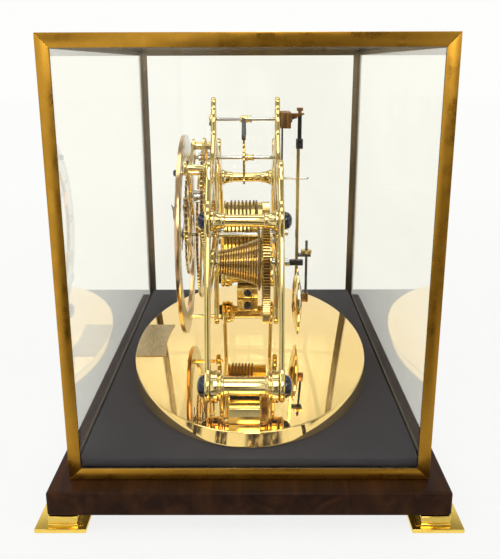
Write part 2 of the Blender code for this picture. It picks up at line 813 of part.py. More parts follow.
def make_plates():
    pillars = [((sx * x, h), STUB_R + GAP) for sx in (-1, 1)
               for x, h in ((LOW_PILLAR_X, LOW_PILLAR_H), (HIGH_PILLAR_X, HIGH_PILLAR_H))]
    front = pillars + [
        (CENTRE_AT, ARBOR_R + GAP), (FUSEE_AT, FUSEE_PIVOT_R + GAP), (BARREL_AT, BARREL_PIVOT_R + GAP),
        (THIRD_AT, PIVOT_R + GAP), (ESCAPE_AT, FINE_ARBOR_R + GAP), (PALLET_AT, PIVOT_R + GAP),
        (DIAL_FOOT_LOW, DIAL_FOOT_R + GAP), (DIAL_FOOT_FAR, DIAL_FOOT_R + GAP),
        (POST_MID, POST_STUB_R + GAP), (POST_SIDE, POST_STUB_R + GAP)]
    rear = pillars + [
        (CENTRE_AT, PIVOT_R + GAP), (FUSEE_AT, WINDING_R + GAP), (BARREL_AT, BARREL_REAR_R + GAP),
        (ESCAPE_AT, PIVOT_R + GAP), (PALLET_AT, FINE_ARBOR_R + GAP), (CLICK_AT, CLICK_STUB_R + GAP)]
    make_plate("front_plate", FRONT_PLATE_Y, front)
    make_plate("rear_plate", REAR_PLATE_Y, rear)


def make_pillars():
    front = FRONT_INNER_Y + GAP
    rear = REAR_INNER_Y - GAP
    reach = PLATE_THICK + GAP + STUB_INTO_CAP
    middle = (front + rear) / 2

    def pillar(body):
        """Mirror half a profile about the middle and add the stubs."""
        half = [(0.0, rear + reach), (STUB_R, rear + reach), (STUB_R, rear)] + body
        return half + [(r, 2 * middle - y) for r, y in reversed(half)]

    low = [(LOW_COLLAR_R, rear), (LOW_COLLAR_R, rear - LOW_COLLAR_W),
           (LOW_PILLAR_R, rear - LOW_COLLAR_W)]
    flare = rear - HIGH_COLLAR_W
    lip, cove, bead = HIGH_COLLAR_SHARES
    high = [(HIGH_COLLAR_R, rear), (HIGH_COLLAR_R, rear - lip * HIGH_COLLAR_W),
            (HIGH_FLARE_R, rear - cove * HIGH_COLLAR_W), (HIGH_BEAD_R, rear - bead * HIGH_COLLAR_W),
            (HIGH_BEAD_R, flare), (HIGH_PILLAR_R, flare)]
    for side, sx in (("left", -1), ("right", 1)):
        place(spun(f"lower_pillar_{side}", pillar(low), (sx * LOW_PILLAR_X, LOW_PILLAR_H),
                   LOW_PILLAR_STEPS),
              BRASS, 0.12)
        place(spun(f"upper_pillar_{side}", pillar(high), (sx * HIGH_PILLAR_X, HIGH_PILLAR_H),
                   HIGH_PILLAR_STEPS),
              BRASS, 0.12)
        for level, x, h, wide in (("lower", LOW_PILLAR_X, LOW_PILLAR_H, CAP_R),
                                  ("upper", HIGH_PILLAR_X, HIGH_PILLAR_H, HIGH_CAP_R)):
            for end, face, way in (("front", FRONT_FACE_Y, -1), ("rear", REAR_FACE_Y, 1)):
                base = face + way * GAP
                dome = [(0.0, base + way * CAP_H)]
                for k in range(1, CAP_RINGS + 1):
                    angle = math.pi / 2 * k / CAP_RINGS
                    dome.append((wide * math.sin(angle),
                                 base + way * (CAP_RIM_H + (CAP_H - CAP_RIM_H) * math.cos(angle))))
                bore = STUB_R + GAP
                floor = base + way * (STUB_INTO_CAP + GAP)
                dome += [(wide, base), (bore, base), (bore, floor), (0.0, floor)]
                if way < 0:
                    dome.reverse()
                place(spun(f"cap_{level}_{end}_{side}", dome, (sx * x, h), CAP_STEPS), BLUED, 0.2)


def make_barrel():
    front, rear = BARREL_Y
    bore = BARREL_ARBOR_R + GAP
    inner = BARREL_R - BARREL_WALL
    lip = BARREL_R + BARREL_RIM
    drum = [(BARREL_R, rear), (BARREL_R, front + BARREL_RIM_W), (lip, front + BARREL_RIM_W),
            (lip, front), (bore, front), (bore, front + COVER_THICK),
            (inner, front + COVER_THICK), (inner, rear)]
    place(spun("barrel", drum, BARREL_AT, BARREL_STEPS, closed=True), BRASS, 0.2)
    place(washer("barrel_cover", BARREL_AT, inner - GAP, bore, (rear - COVER_THICK, rear),
                 BARREL_STEPS), BRASS, 0.2)
    p = BARREL_PIVOT_R
    a = BARREL_ARBOR_R
    r = BARREL_REAR_R
    square = BARREL_SQUARE_SHARE * r
    arbor = [(0.0, BARREL_END_Y), (square, BARREL_END_Y), (square, RATCHET_Y[1] + GAP),
             (r, RATCHET_Y[1] + GAP), (r, REAR_INNER_Y - GAP), (a, REAR_INNER_Y - GAP),
             (a, FRONT_INNER_Y + GAP), (p, FRONT_INNER_Y + GAP), (p, FRONT_FACE_Y),
             (0.0, FRONT_FACE_Y)]
    place(spun("barrel_arbor", arbor, BARREL_AT, ARBOR_STEPS), STEEL, 0.2)
    points = []
    count = SPRING_TURNS * SPRING_POINTS
    for k in range(count + 1):
        share = k / count
        radius = SPRING_INNER_R + (SPRING_OUTER_R - SPRING_INNER_R) * share
        angle = math.tau * SPRING_TURNS * share
        points.append((radius * math.cos(angle), radius * math.sin(angle)))
    pitch = (SPRING_OUTER_R - SPRING_INNER_R) / SPRING_TURNS
    print(f"mainspring: least gap between turns {1000 * (pitch - SPRING_THICK):.2f} mm")
    y_range = (front + SPRING_MARGIN, rear - SPRING_MARGIN)
    place(flat("mainspring", [strip(points, SPRING_THICK / 2, 2)], y_range, BARREL_AT), DARK, 0.35)


def ratchet_loop(teeth, radius, root_share, turn=0.0):
    loop = []
    for k in range(teeth):
        angle = turn + math.tau * k / teeth
        loop.append((radius * math.cos(angle), radius * math.sin(angle)))
        loop.append((radius * root_share * math.cos(angle), radius * root_share * math.sin(angle)))
    return loop


def make_click_work():
    line = bearing(BARREL_AT, CLICK_AT)
    loops = [ratchet_loop(RATCHET_TEETH, RATCHET_R, RATCHET_ROOT_SHARE, line),
             circle(BARREL_REAR_R + GAP, ARBOR_STEPS)]
    place(flat("barrel_ratchet", loops, RATCHET_Y, BARREL_AT), STEEL, 0.3)
    tooth = math.tau / RATCHET_TEETH
    notch = line - CLICK_TEETH_BACK * tooth
    root = RATCHET_R * RATCHET_ROOT_SHARE
    reach = (Vector(CLICK_AT) - Vector(BARREL_AT)).length
    radii = (root + 2 * GAP, RATCHET_R + 3 * GAP, RATCHET_R + 5 * GAP, reach - CLICK_STUD_R / 2,
             reach + CLICK_STUD_R / 2, reach - GAP, RATCHET_R + 5 * GAP)
    loop = [(radius * math.cos(notch + share * tooth), radius * math.sin(notch + share * tooth))
            for radius, share in zip(radii, CLICK_AHEAD_SHARES)]
    click = flat("barrel_click", [loop], RATCHET_Y, BARREL_AT)
    join(click, rod("boss", CLICK_AT, CLICK_STUD_R, grow(RATCHET_Y, GAP), 10))
    join(click, rod("stub", CLICK_AT, CLICK_STUB_R, (REAR_INNER_Y, RATCHET_Y[1]), 8))
    place(click, STEEL, 0.3)


def fusee_radius(y):
    """The fusee's outline: it flares towards the great wheel."""
    share = (y - FUSEE_FRONT_Y) / (FUSEE_REAR_Y - FUSEE_FRONT_Y)
    return FUSEE_SMALL_R + (FUSEE_LARGE_R - FUSEE_SMALL_R) * (
        FUSEE_CURVE_SHARE * share + (1 - FUSEE_CURVE_SHARE) * share ** 3)


def make_fusee():
    pitch = (FUSEE_REAR_Y - FUSEE_FRONT_Y) / (FUSEE_TURNS + 1)
    profile = [(fusee_radius(FUSEE_REAR_Y), FUSEE_REAR_Y)]
    for k in range(FUSEE_TURNS, 0, -1):
        y = FUSEE_FRONT_Y + k * pitch
        profile.append((fusee_radius(y + pitch / 2), y + pitch / 2))
        profile.append((fusee_radius(y) - FUSEE_GROOVE_SHARE * pitch, y))
    profile.append((fusee_radius(FUSEE_FRONT_Y + pitch / 2), FUSEE_FRONT_Y + pitch / 2))
    profile.append((fusee_radius(FUSEE_FRONT_Y + pitch / 2), FUSEE_FRONT_Y))
    bore = FUSEE_ARBOR_R + GAP
    profile += [(bore, FUSEE_FRONT_Y), (bore, FUSEE_REAR_Y)]
    place(spun("fusee", profile, FUSEE_AT, FUSEE_STEPS, closed=True), BRASS, 0.18)
    rear = REAR_INNER_Y - GAP
    front = FRONT_INNER_Y + GAP
    arbor = [(0.0, WINDING_END_Y), (WINDING_R, WINDING_END_Y), (WINDING_R, rear),
             (FUSEE_ARBOR_R, rear), (FUSEE_ARBOR_R, front), (FUSEE_PIVOT_R, front),
             (FUSEE_PIVOT_R, FRONT_FACE_Y), (0.0, FRONT_FACE_Y)]
    made = spun("fusee_arbor", arbor, FUSEE_AT, ARBOR_STEPS)
    at = world(FUSEE_AT)
    for turn in range(4):
        way = Matrix.Rotation(math.pi / 2 * turn, 4, "Y")
        flat_cut = box("square", (-2 * WINDING_R, WINDING_SQUARE_Y, WINDING_SQUARE / 2),
                       (2 * WINDING_R, WINDING_END_Y + PAST, 2 * WINDING_R))
        flat_cut.data.transform(Matrix.Translation(at) @ way)
        cut(made, flat_cut)
    place(made, STEEL, 0.25)


def line_turns():
    """The line's turns on the barrel, as points along a helix."""
    count = LINE_TURNS * LOOP_POINTS
    leave = math.radians(LINE_LEAVES_DEG)
    points = []
    for k in range(count + 1):
        share = k / count
        angle = leave + math.tau * LINE_TURNS * (1 - share)
        y = LINE_START_Y + (LINE_END_Y - LINE_START_Y) * share
        at = world(BARREL_AT, y)
        points.append((at.x + LINE_COIL_R * math.cos(angle), y, at.z + LINE_COIL_R * math.sin(angle)))
    return points


def make_line():
    turns = line_turns()
    cloud = np.array(turns)
    least = min(float(np.linalg.norm(cloud[k + LOOP_POINTS // 2:] - cloud[k], axis=1).min())
                for k in range(len(cloud) - LOOP_POINTS // 2))
    print(f"line on the barrel: least gap to itself {1000 * (least - 2 * LINE_R):.2f} mm")
    place(tube("line_on_barrel", turns, LINE_R, 1), GUT, 0.6, 0.0)
    start_y = LINE_END_Y + 2 * LINE_R + 2 * GAP
    end_y = FUSEE_REAR_Y - 2 * LINE_R
    wrap_r = fusee_radius(FUSEE_REAR_Y) + LINE_R + GAP
    a = world(BARREL_AT, start_y)
    b = world(FUSEE_AT, end_y)
    run = Vector((b.x - a.x, 0.0, b.z - a.z))
    tilt = math.atan2(run.z, run.x)
    lean = math.asin((LINE_COIL_R - wrap_r) / run.length)
    up = tilt + math.pi / 2 - lean
    points = []
    for k in range(LINE_ON_STEPS, 0, -1):
        angle = up + math.radians(LINE_ON_STEP_DEG) * k
        points.append((a.x + LINE_COIL_R * math.cos(angle), start_y,
                       a.z + LINE_COIL_R * math.sin(angle)))
    first = Vector((a.x + LINE_COIL_R * math.cos(up), start_y, a.z + LINE_COIL_R * math.sin(up)))
    last = Vector((b.x + wrap_r * math.cos(up), end_y, b.z + wrap_r * math.sin(up)))
    for k in range(4):
        points.append(tuple(first.lerp(last, k / 3)))
    for k in range(1, LINE_OFF_STEPS + 1):
        angle = up - math.radians(LINE_OFF_STEP_DEG) * k
        points.append((b.x + wrap_r * math.cos(angle), end_y, b.z + wrap_r * math.sin(angle)))
    place(tube("line_run", points, LINE_R, 1), GUT, 0.6, 0.0)


def train_phases():
    """Where each wheel's teeth stand, so that the whole train is in mesh."""
    phases = {"great": bearing(FUSEE_AT, CENTRE_AT)}
    phases["centre_leaves"] = meshed(FUSEE_AT, CENTRE_AT, phases["great"], GREAT_TEETH, CENTRE_LEAVES)
    phases["centre"] = bearing(CENTRE_AT, THIRD_AT)
    phases["third_leaves"] = meshed(CENTRE_AT, THIRD_AT, phases["centre"], WHEEL_TEETH, PINION_LEAVES)
    phases["third"] = bearing(THIRD_AT, ESCAPE_AT)
    phases["escape_leaves"] = meshed(THIRD_AT, ESCAPE_AT, phases["third"], WHEEL_TEETH, PINION_LEAVES)
    phases["minute"] = bearing(MINUTE_AT, CENTRE_AT)
    phases["cannon"] = meshed(MINUTE_AT, CENTRE_AT, phases["minute"], MINUTE_TEETH, CANNON_TEETH)
    phases["hour"] = bearing(CENTRE_AT, MINUTE_AT)
    phases["minute_leaves"] = meshed(CENTRE_AT, MINUTE_AT, phases["hour"], HOUR_TEETH, MINUTE_LEAVES)
    return phases


def toothed_wheel(name, spot, teeth, mod, y_range, phase, bore, arms, hub=HUB_R,
                  pointed=False):
    rim = mod * teeth / 2 - mod * DEDENDUM_SHARE_WHEEL - RIM_WIDTH
    loops = [wheel_loop(teeth, mod, phase, pointed), circle(bore, ARBOR_STEPS)]
    loops += arm_openings(hub, rim, arms, ARM_WIDTH)
    return flat(name, loops, y_range, spot)


def make_train():
    phases = train_phases()
    great = module(FUSEE_AT, CENTRE_AT, GREAT_TEETH, CENTRE_LEAVES)
    first = module(CENTRE_AT, THIRD_AT, WHEEL_TEETH, PINION_LEAVES)
    second = module(THIRD_AT, ESCAPE_AT, WHEEL_TEETH, PINION_LEAVES)
    bore = FUSEE_ARBOR_R + GAP
    wheel = toothed_wheel("great_wheel", FUSEE_AT, GREAT_TEETH, great, GREAT_Y, phases["great"],
                          bore, ARMS, GREAT_HUB_R, pointed=True)
    place(wheel, BRASS, 0.2)

    rear = REAR_INNER_Y - GAP
    a = ARBOR_R
    f = FRONT_ARBOR_R
    seat = CENTRE_WHEEL_Y[1] + GAP
    arbor = [(0.0, REAR_FACE_Y), (PIVOT_R, REAR_FACE_Y), (PIVOT_R, rear), (a, rear), (a, seat),
             (f, seat), (f, ARBOR_FRONT_Y), (0.0, ARBOR_FRONT_Y)]
    arbor = spun("centre_arbor", arbor, CENTRE_AT, ARBOR_STEPS)
    join(arbor, flat("leaves", [leaf_loop(CENTRE_LEAVES, great, phases["centre_leaves"])],
                     CENTRE_PINION_Y, CENTRE_AT))
    place(tidy(arbor), STEEL, 0.2)
    place(toothed_wheel("centre_wheel", CENTRE_AT, WHEEL_TEETH, first, CENTRE_WHEEL_Y,
                        phases["centre"], f + GAP, ARMS), BRASS, 0.15)

    p = PIVOT_R
    third_front = BRIDGE_Y[0]
    seat = THIRD_WHEEL_Y[0] - GAP
    fine = FINE_ARBOR_R
    arbor = [(0.0, FRONT_INNER_Y), (p, FRONT_INNER_Y), (p, FRONT_FACE_Y - GAP),
             (fine, FRONT_FACE_Y - GAP), (fine, seat), (a, seat), (a, BRIDGE_Y[1] + GAP),
             (p, BRIDGE_Y[1] + GAP), (p, third_front), (0.0, third_front)]
    arbor = spun("third_arbor", arbor, THIRD_AT, ARBOR_STEPS)
    join(arbor, flat("leaves", [leaf_loop(PINION_LEAVES, first, phases["third_leaves"])],
                     THIRD_PINION_Y, THIRD_AT))
    place(tidy(arbor), BLUED, 0.2)
    place(toothed_wheel("third_wheel", THIRD_AT, WHEEL_TEETH, second, THIRD_WHEEL_Y,
                        phases["third"], fine + GAP, ARMS), BRASS, 0.15)

    arbor = [(0.0, REAR_FACE_Y), (p, REAR_FACE_Y), (p, rear), (fine, rear),
             (fine, BRIDGE_Y[1] + GAP), (p, BRIDGE_Y[1] + GAP), (p, third_front), (0.0, third_front)]
    arbor = spun("escape_arbor", arbor, ESCAPE_AT, ARBOR_STEPS)
    join(arbor, flat("leaves", [leaf_loop(PINION_LEAVES, second, phases["escape_leaves"])],
                     ESCAPE_PINION_Y, ESCAPE_AT))
    place(tidy(arbor), BLUED, 0.2)

    root = ESCAPE_TIP_R * ESCAPE_ROOT_SHARE
    step = math.tau / ESCAPE_TEETH
    loop = []
    for k in range(ESCAPE_TEETH):
        for radius, share in ((root, 0.0), (ESCAPE_TIP_R, ESCAPE_LEAN_SHARE),
                              (ESCAPE_TIP_R, ESCAPE_LEAN_SHARE + ESCAPE_TIP_SHARE)):
            angle = (k + share) * step
            loop.append((radius * math.cos(angle), radius * math.sin(angle)))
    loops = [loop, circle(fine + GAP, ARBOR_STEPS)]
    loops += arm_openings(ESCAPE_HUB_R, root - ESCAPE_RIM_WIDTH, SMALL_ARMS, ESCAPE_ARM_WIDTH)
    wheel = flat("escape_wheel", loops, ESCAPE_WHEEL_Y, ESCAPE_AT)
    collet = washer("collet", ESCAPE_AT, ESCAPE_COLLET_R, fine + GAP,
                    (ESCAPE_WHEEL_Y[1] - GAP, ESCAPE_WHEEL_Y[1] + ESCAPE_COLLET_LENGTH),
                    ARBOR_STEPS)
    join(wheel, collet)
    place(tidy(wheel), BRASS, 0.15)


def make_pallets():
    fine = FINE_ARBOR_R
    p = PIVOT_R
    rear = CRUTCH_HUB_Y[1] + PLATE_THICK
    arbor = [(0.0, rear), (p, rear), (p, CRUTCH_HUB_Y[1] + GAP), (fine, CRUTCH_HUB_Y[1] + GAP),
             (fine, PALLET_Y[1] + COLLET_R), (PALLET_COLLET_R, PALLET_Y[1] + COLLET_R),
             (PALLET_COLLET_R, PALLET_Y[0]), (fine, PALLET_Y[0]),
             (fine, FRONT_INNER_Y + GAP), (p, FRONT_INNER_Y + GAP), (p, FRONT_FACE_Y),
             (0.0, FRONT_FACE_Y)]
    pallets = spun("pallets", arbor, PALLET_AT, ARBOR_STEPS)
    middle = Vector((0.0, ESCAPE_AT[1] - PALLET_AT[1]))
    out = ESCAPE_TIP_R + PALLET_GAP
    for side in (-1, 1):
        half = math.radians(PALLET_SPAN_DEG) * side
        way = Vector((math.sin(half), math.cos(half)))
        along = Vector((math.cos(half), -math.sin(half))) * side
        tip = middle + way * out
        elbow = (middle + way * (out + PALLET_OUT_SHARE * PALLET_PAD)
                 + along * PALLET_IN_SHARE * PALLET_PAD)
        half_pad, rise, reach = (share * PALLET_PAD for share in PALLET_TIP_SHARES)
        high, low = (share * PALLET_ARM_HALF for share in PALLET_ROOT_SHARES)
        loop = [tuple(tip - along * half_pad), tuple(tip + along * half_pad),
                tuple(elbow + along * half_pad + way * rise), (side * PALLET_ARM_HALF, high),
                (-side * low, -high), tuple(elbow - along * reach)]
        join(pallets, flat("arm", [loop], PALLET_Y, PALLET_AT))
    place(tidy(pallets), STEEL, 0.2)

    crutch = washer("crutch", PALLET_AT, CRUTCH_HUB_R, fine + GAP, CRUTCH_HUB_Y, 12)
    hub_low = world((PALLET_AT[0], PALLET_AT[1] - CRUTCH_ROOT_SHARE * CRUTCH_HUB_R), CRUTCH_Y)
    low = world((0.0, CRUTCH_LOW_H), CRUTCH_Y)
    join(crutch, tube("stem", [tuple(hub_low), tuple(low)], CRUTCH_R, 1))
    join(crutch, rod("pin", (0.0, CRUTCH_LOW_H), CRUTCH_PIN_R,
                     (CRUTCH_Y - CRUTCH_PIN_BACK, CRUTCH_PIN_END_Y), HOLE_SIDES))
    place(crutch, DARK, 0.35)


def make_suspension():
    z0, z1 = (OVAL_TOP_Z + h for h in COCK_H)
    wide = COCK_FOOT_X + COCK_FOOT_HALF
    cock = box("suspension_cock", (-wide, COCK_BAR_Y[0], z0), (wide, COCK_BAR_Y[1], z1))
    for sx in (-1, 1):
        join(cock, box("foot", (sx * COCK_FOOT_X - COCK_FOOT_HALF, REAR_FACE_Y + GAP, z0),
                       (sx * COCK_FOOT_X + COCK_FOOT_HALF, COCK_BAR_Y[0] + PAST, z1)))
    a0, a1 = (OVAL_TOP_Z + h for h in COCK_ARM_H)
    arm = box("arm", (-COCK_ARM_HALF, COCK_BAR_Y[1] - PAST, a0), (COCK_ARM_HALF, COCK_ARM_END_Y, a1))
    for vert in arm.data.vertices:
        if vert.co.y > COCK_ARM_END_Y - PAST and vert.co.z < (a0 + a1) / 2:
            vert.co.z += (a1 - a0) / 4
    join(cock, arm)
    top = a1 + COCK_NUT_H
    nut = bmesh.new()
    bmesh.ops.create_cone(nut, cap_ends=True, segments=16, radius1=COCK_NUT_R, radius2=COCK_NUT_R,
                          depth=top - a1 + PAST,
                          matrix=Matrix.Translation((0.0, SUSPENSION_Y, (a1 - PAST + top) / 2)))
    join(cock, finish("nut", nut))
    cut(cock, rod("hole", PALLET_AT, PIVOT_R + GAP, grow(COCK_BAR_Y), 12))
    slot_y = STRIP_HALF_Y + GAP
    cut(cock, box("slot", (-SLOT_X / 2, SUSPENSION_Y - slot_y, a0 - PAST),
                  (SLOT_X / 2, SUSPENSION_Y + slot_y, OVAL_TOP_Z + STRIP_TOP_H + GAP)))
    place(tidy(cock), AGED, 0.3)

    t = STRIP_THICK / 2
    spring = box("suspension_spring",
                 (-t, SUSPENSION_Y - STRIP_HALF_Y, OVAL_TOP_Z + STRIP_LOW_H),
                 (t, SUSPENSION_Y + STRIP_HALF_Y, OVAL_TOP_Z + STRIP_TOP_H))
    place(spring, STEEL, 0.3)


def make_pendulum():
    x = ROD_HALF_X
    slot = CRUTCH_SLOT_HALF
    outline = [(-x, ROD_IN_BOB_H), (x, ROD_IN_BOB_H), (x, ROD_TOP_H), (-x, ROD_TOP_H)]
    window = [(-slot, CRUTCH_SLOT_H[0]), (slot, CRUTCH_SLOT_H[0]), (slot, CRUTCH_SLOT_H[1]),
              (-slot, CRUTCH_SLOT_H[1])]
    rod_made = flat("pendulum_rod", [outline, window], ROD_Y)
    chop = box("chop", (-CHOP_HALF_X, CHOP_Y[0], OVAL_TOP_Z + CHOP_H[0]),
               (CHOP_HALF_X, CHOP_Y[1], OVAL_TOP_Z + CHOP_H[1]))
    join(rod_made, chop)
    t = STRIP_THICK / 2 + GAP
    cut(rod_made, box("clamp", (-t, SUSPENSION_Y - STRIP_HALF_Y - GAP, OVAL_TOP_Z + STRIP_LOW_H - GAP),
                      (t, SUSPENSION_Y + STRIP_HALF_Y + GAP, OVAL_TOP_Z + CHOP_H[1] + PAST)))
    b0, b1 = (OVAL_TOP_Z + h for h in BRACKET_H)
    end = RATING_Y + BRACKET_HALF
    bracket = box("bracket", (-BRACKET_HALF, ROD_Y[1] - PAST, b0), (BRACKET_HALF, end, b1))
    join(rod_made, bracket)
    hole = bmesh.new()
    bmesh.ops.create_cone(hole, cap_ends=True, segments=14, radius1=RATING_R + THREAD_CLEAR,
                          radius2=RATING_R + THREAD_CLEAR, depth=b1 - b0 + 2 * PAST,
                          matrix=Matrix.Translation((0.0, RATING_Y, (b0 + b1) / 2)))
    cut(rod_made, finish("hole", hole))
    place(tidy(rod_made), BRASS, 0.2)

    y0, y1 = BOB_Y
    middle = (y0 + y1) / 2
    half = (y1 - y0) / 2 - BOB_EDGE / 2
    profile = [(0.0, y1)]
    for k in range(1, BOB_RINGS + 1):
        share = k / BOB_RINGS
        profile.append((BOB_R * share, middle + BOB_EDGE / 2 + half * (1 - share ** 2)))
    profile += [(r, 2 * middle - y) for r, y in reversed(profile)]
    bob = spun("pendulum_bob", profile, (0.0, BOB_H), BOB_STEPS)
    cut(bob, box("channel", (-x - GAP, ROD_Y[0] - GAP, OVAL_TOP_Z + ROD_IN_BOB_H - BOB_CHANNEL_PAST),
                 (x + GAP, ROD_Y[1] + GAP, OVAL_TOP_Z + BOB_H + BOB_R + PAST)))
    cut(bob, rod("peg_hole", (0.0, sum(RATING_FOOT_H) / 2), RATING_PEG_R + GAP,
                 (RATING_PEG_Y - GAP, BOB_Y[1] + PAST), 12))
    place(tidy(bob), BRASS, 0.15)

    f0, f1 = RATING_FOOT_H
    foot = box("rating_screw", (-RATING_FOOT_HALF, BOB_Y[1] + GAP, OVAL_TOP_Z + f0),
               (RATING_FOOT_HALF, RATING_Y + RATING_FOOT_PAST, OVAL_TOP_Z + f1))
    join(foot, rod("peg", (0.0, (f0 + f1) / 2), RATING_PEG_R, (RATING_PEG_Y, RATING_Y), 12))
    low = OVAL_TOP_Z + (f0 + f1) / 2
    high = OVAL_TOP_Z + RATING_TOP_H
    shaft = bmesh.new()
    bmesh.ops.create_cone(shaft, cap_ends=True, segments=12, radius1=RATING_R, radius2=RATING_R,
                          depth=high - low,
                          matrix=Matrix.Translation((0.0, RATING_Y, (low + high) / 2)))
    join(foot, finish("shaft", shaft))
    place(foot, STEEL, 0.3)

    nut_low = b1 + GAP
    flutes = [((NUT_R if k % 2 else NUT_R * FLUTE_SHARE) * math.cos(math.pi * k / NUT_FLUTES),
               (NUT_R if k % 2 else NUT_R * FLUTE_SHARE) * math.sin(math.pi * k / NUT_FLUTES))
              for k in range(2 * NUT_FLUTES)]
    nut = flat("rating_nut", [flutes, circle(RATING_R + THREAD_CLEAR, 14)], (0.0, NUT_H))
    nut.data.transform(Matrix.Translation((0.0, 0.0, -OVAL_TOP_Z)))
    nut.data.transform(Matrix.Rotation(math.pi / 2, 4, "X"))
    nut.data.transform(Matrix.Translation((0.0, RATING_Y, nut_low)))
    place(nut, BRASS, 0.25)


def make_bridge():
    arch = smooth([POST_MID, (0.5 * DIAL_FOOT_NEAR[0], ESCAPE_AT[1] + BRIDGE_HALF / 2),
                   (DIAL_FOOT_NEAR[0], DIAL_FOOT_NEAR[1] + BRIDGE_HALF / 2), POST_SIDE], 2)
    arm = smooth([DIAL_FOOT_NEAR, THIRD_AT, MINUTE_AT], 2)
    outlines = [strip(line, BRIDGE_HALF) for line in (arch, arm, [POST_MID, ESCAPE_AT])]
    outlines += [circle(BRIDGE_BOSS_R, HOLE_SIDES, spot)
                 for spot in (POST_MID, POST_SIDE, DIAL_FOOT_NEAR, THIRD_AT, ESCAPE_AT, MINUTE_AT)]
    holes = [(THIRD_AT, PIVOT_R + GAP), (ESCAPE_AT, PIVOT_R + GAP), (DIAL_FOOT_NEAR, DIAL_FOOT_R + GAP)]
    bridge = sheet("train_bridge", outlines, BRIDGE_Y, holes)
    for spot in (POST_MID, POST_SIDE):
        face = FRONT_FACE_Y - GAP
        profile = [(0.0, FRONT_INNER_Y), (POST_STUB_R, FRONT_INNER_Y), (POST_STUB_R, face),
                   (POST_R, face), (POST_R, BRIDGE_Y[0] + PAST), (0.0, BRIDGE_Y[0] + PAST)]
        join(bridge, spun("post", profile, spot, 12))
    join(bridge, rod("stud", MINUTE_AT, STUD_R, (STUD_END_Y, BRIDGE_Y[1] - PAST), 10))
    place(tidy(bridge), BRASS, 0.2)


def make_motion_work():
    phases = train_phases()
    fast = module(MINUTE_AT, CENTRE_AT, MINUTE_TEETH, CANNON_TEETH)
    slow = module(CENTRE_AT, MINUTE_AT, HOUR_TEETH, MINUTE_LEAVES)
    bore = FRONT_ARBOR_R + GAP
    cannon = flat("cannon_pinion", [leaf_loop(CANNON_TEETH, fast, phases["cannon"]),
                                    circle(bore, ARBOR_STEPS)], CANNON_Y, CENTRE_AT)
    join(cannon, washer("pipe", CENTRE_AT, CANNON_PIPE_R, bore, (CANNON_FRONT_Y, CANNON_Y[1] - GAP), 12))
    place(tidy(cannon), STEEL, 0.25)

    stud = STUD_R + GAP
    wheel = flat("minute_wheel", [wheel_loop(MINUTE_TEETH, fast, phases["minute"]),
                                  circle(stud, ARBOR_STEPS)], CANNON_Y, MINUTE_AT)
    join(wheel, flat("leaves", [leaf_loop(MINUTE_LEAVES, slow, phases["minute_leaves"]),
                                circle(stud, ARBOR_STEPS)],
                     (MINUTE_LEAVES_Y[0], CANNON_Y[0] + GAP), MINUTE_AT))
    place(tidy(wheel), BRASS, 0.2)

    pipe = CANNON_PIPE_R + GAP
    wheel = flat("hour_wheel", [wheel_loop(HOUR_TEETH, slow, phases["hour"]), circle(pipe, 12)],
                 HOUR_Y, CENTRE_AT)
    join(wheel, washer("pipe", CENTRE_AT, HOUR_PIPE_R, pipe, (HOUR_FRONT_Y, HOUR_Y[1] - GAP), 12))
    place(tidy(wheel), BRASS, 0.2)


def hand(name, length, bore, y_range, degrees):
    """A blued hand: tapering stem, pierced eye near the tip, short tail."""
    eye_at = HAND_EYE_AT_SHARE * length
    blade = [(-HAND_HALF, -HAND_TAIL), (HAND_HALF, -HAND_TAIL), (HAND_TIP_SHARE * HAND_HALF, eye_at),
             (0.0, length), (-HAND_TIP_SHARE * HAND_HALF, eye_at)]
    made = sheet(name, [blade, circle(HAND_HUB_R, 12), circle(HAND_EYE_R, 12, (0.0, eye_at)),
                        circle(HAND_KNOB_R, 6, (0.0, -HAND_TAIL))], y_range)
    hole = HAND_EYE_R * HAND_EYE_BORE_SHARE
    cut(made, flat("pierced", [circle(hole, 12, (0.0, eye_at))], grow(y_range)))
    cut(made, flat("bore", [circle(bore, 12)], grow(y_range)))
    tidy(made)
    turn = Matrix.Rotation(math.radians(degrees), 4, "Y")
    down = Matrix.Translation((0.0, 0.0, -OVAL_TOP_Z))
    made.data.transform(Matrix.Translation(world(CENTRE_AT)) @ turn @ down)
    return place(made, BLUED, 0.2)


def make_dial():
    hand("hour_hand", HOUR_HAND_LENGTH, HOUR_PIPE_R + GAP, HOUR_HAND_Y, HOUR_AT_DEG)
    hand("minute_hand", MINUTE_HAND_LENGTH, CANNON_PIPE_R + GAP, MINUTE_HAND_Y, MINUTE_AT_DEG)
    ring = washer("chapter_ring", CENTRE_AT, RING_OUTER_R, RING_INNER_R, RING_Y, RING_STEPS)
    for spot, end in ((DIAL_FOOT_LOW, DIAL_FOOT_END_Y), (DIAL_FOOT_FAR, DIAL_FOOT_END_Y),
                      (DIAL_FOOT_NEAR, DIAL_FOOT_NEAR_END_Y)):
        front = RING_Y[0]
        profile = [(0.0, end), (DIAL_FOOT_R, end), (DIAL_FOOT_R, front + GAP),
                   (DIAL_FOOT_HEAD_R, front + GAP), (DIAL_FOOT_TOP_R, DIAL_FOOT_FRONT_Y),
                   (0.0, DIAL_FOOT_FRONT_Y)]
        join(ring, spun("foot", profile, spot, 8))
    place(tidy(ring), BRASS, 0.2)


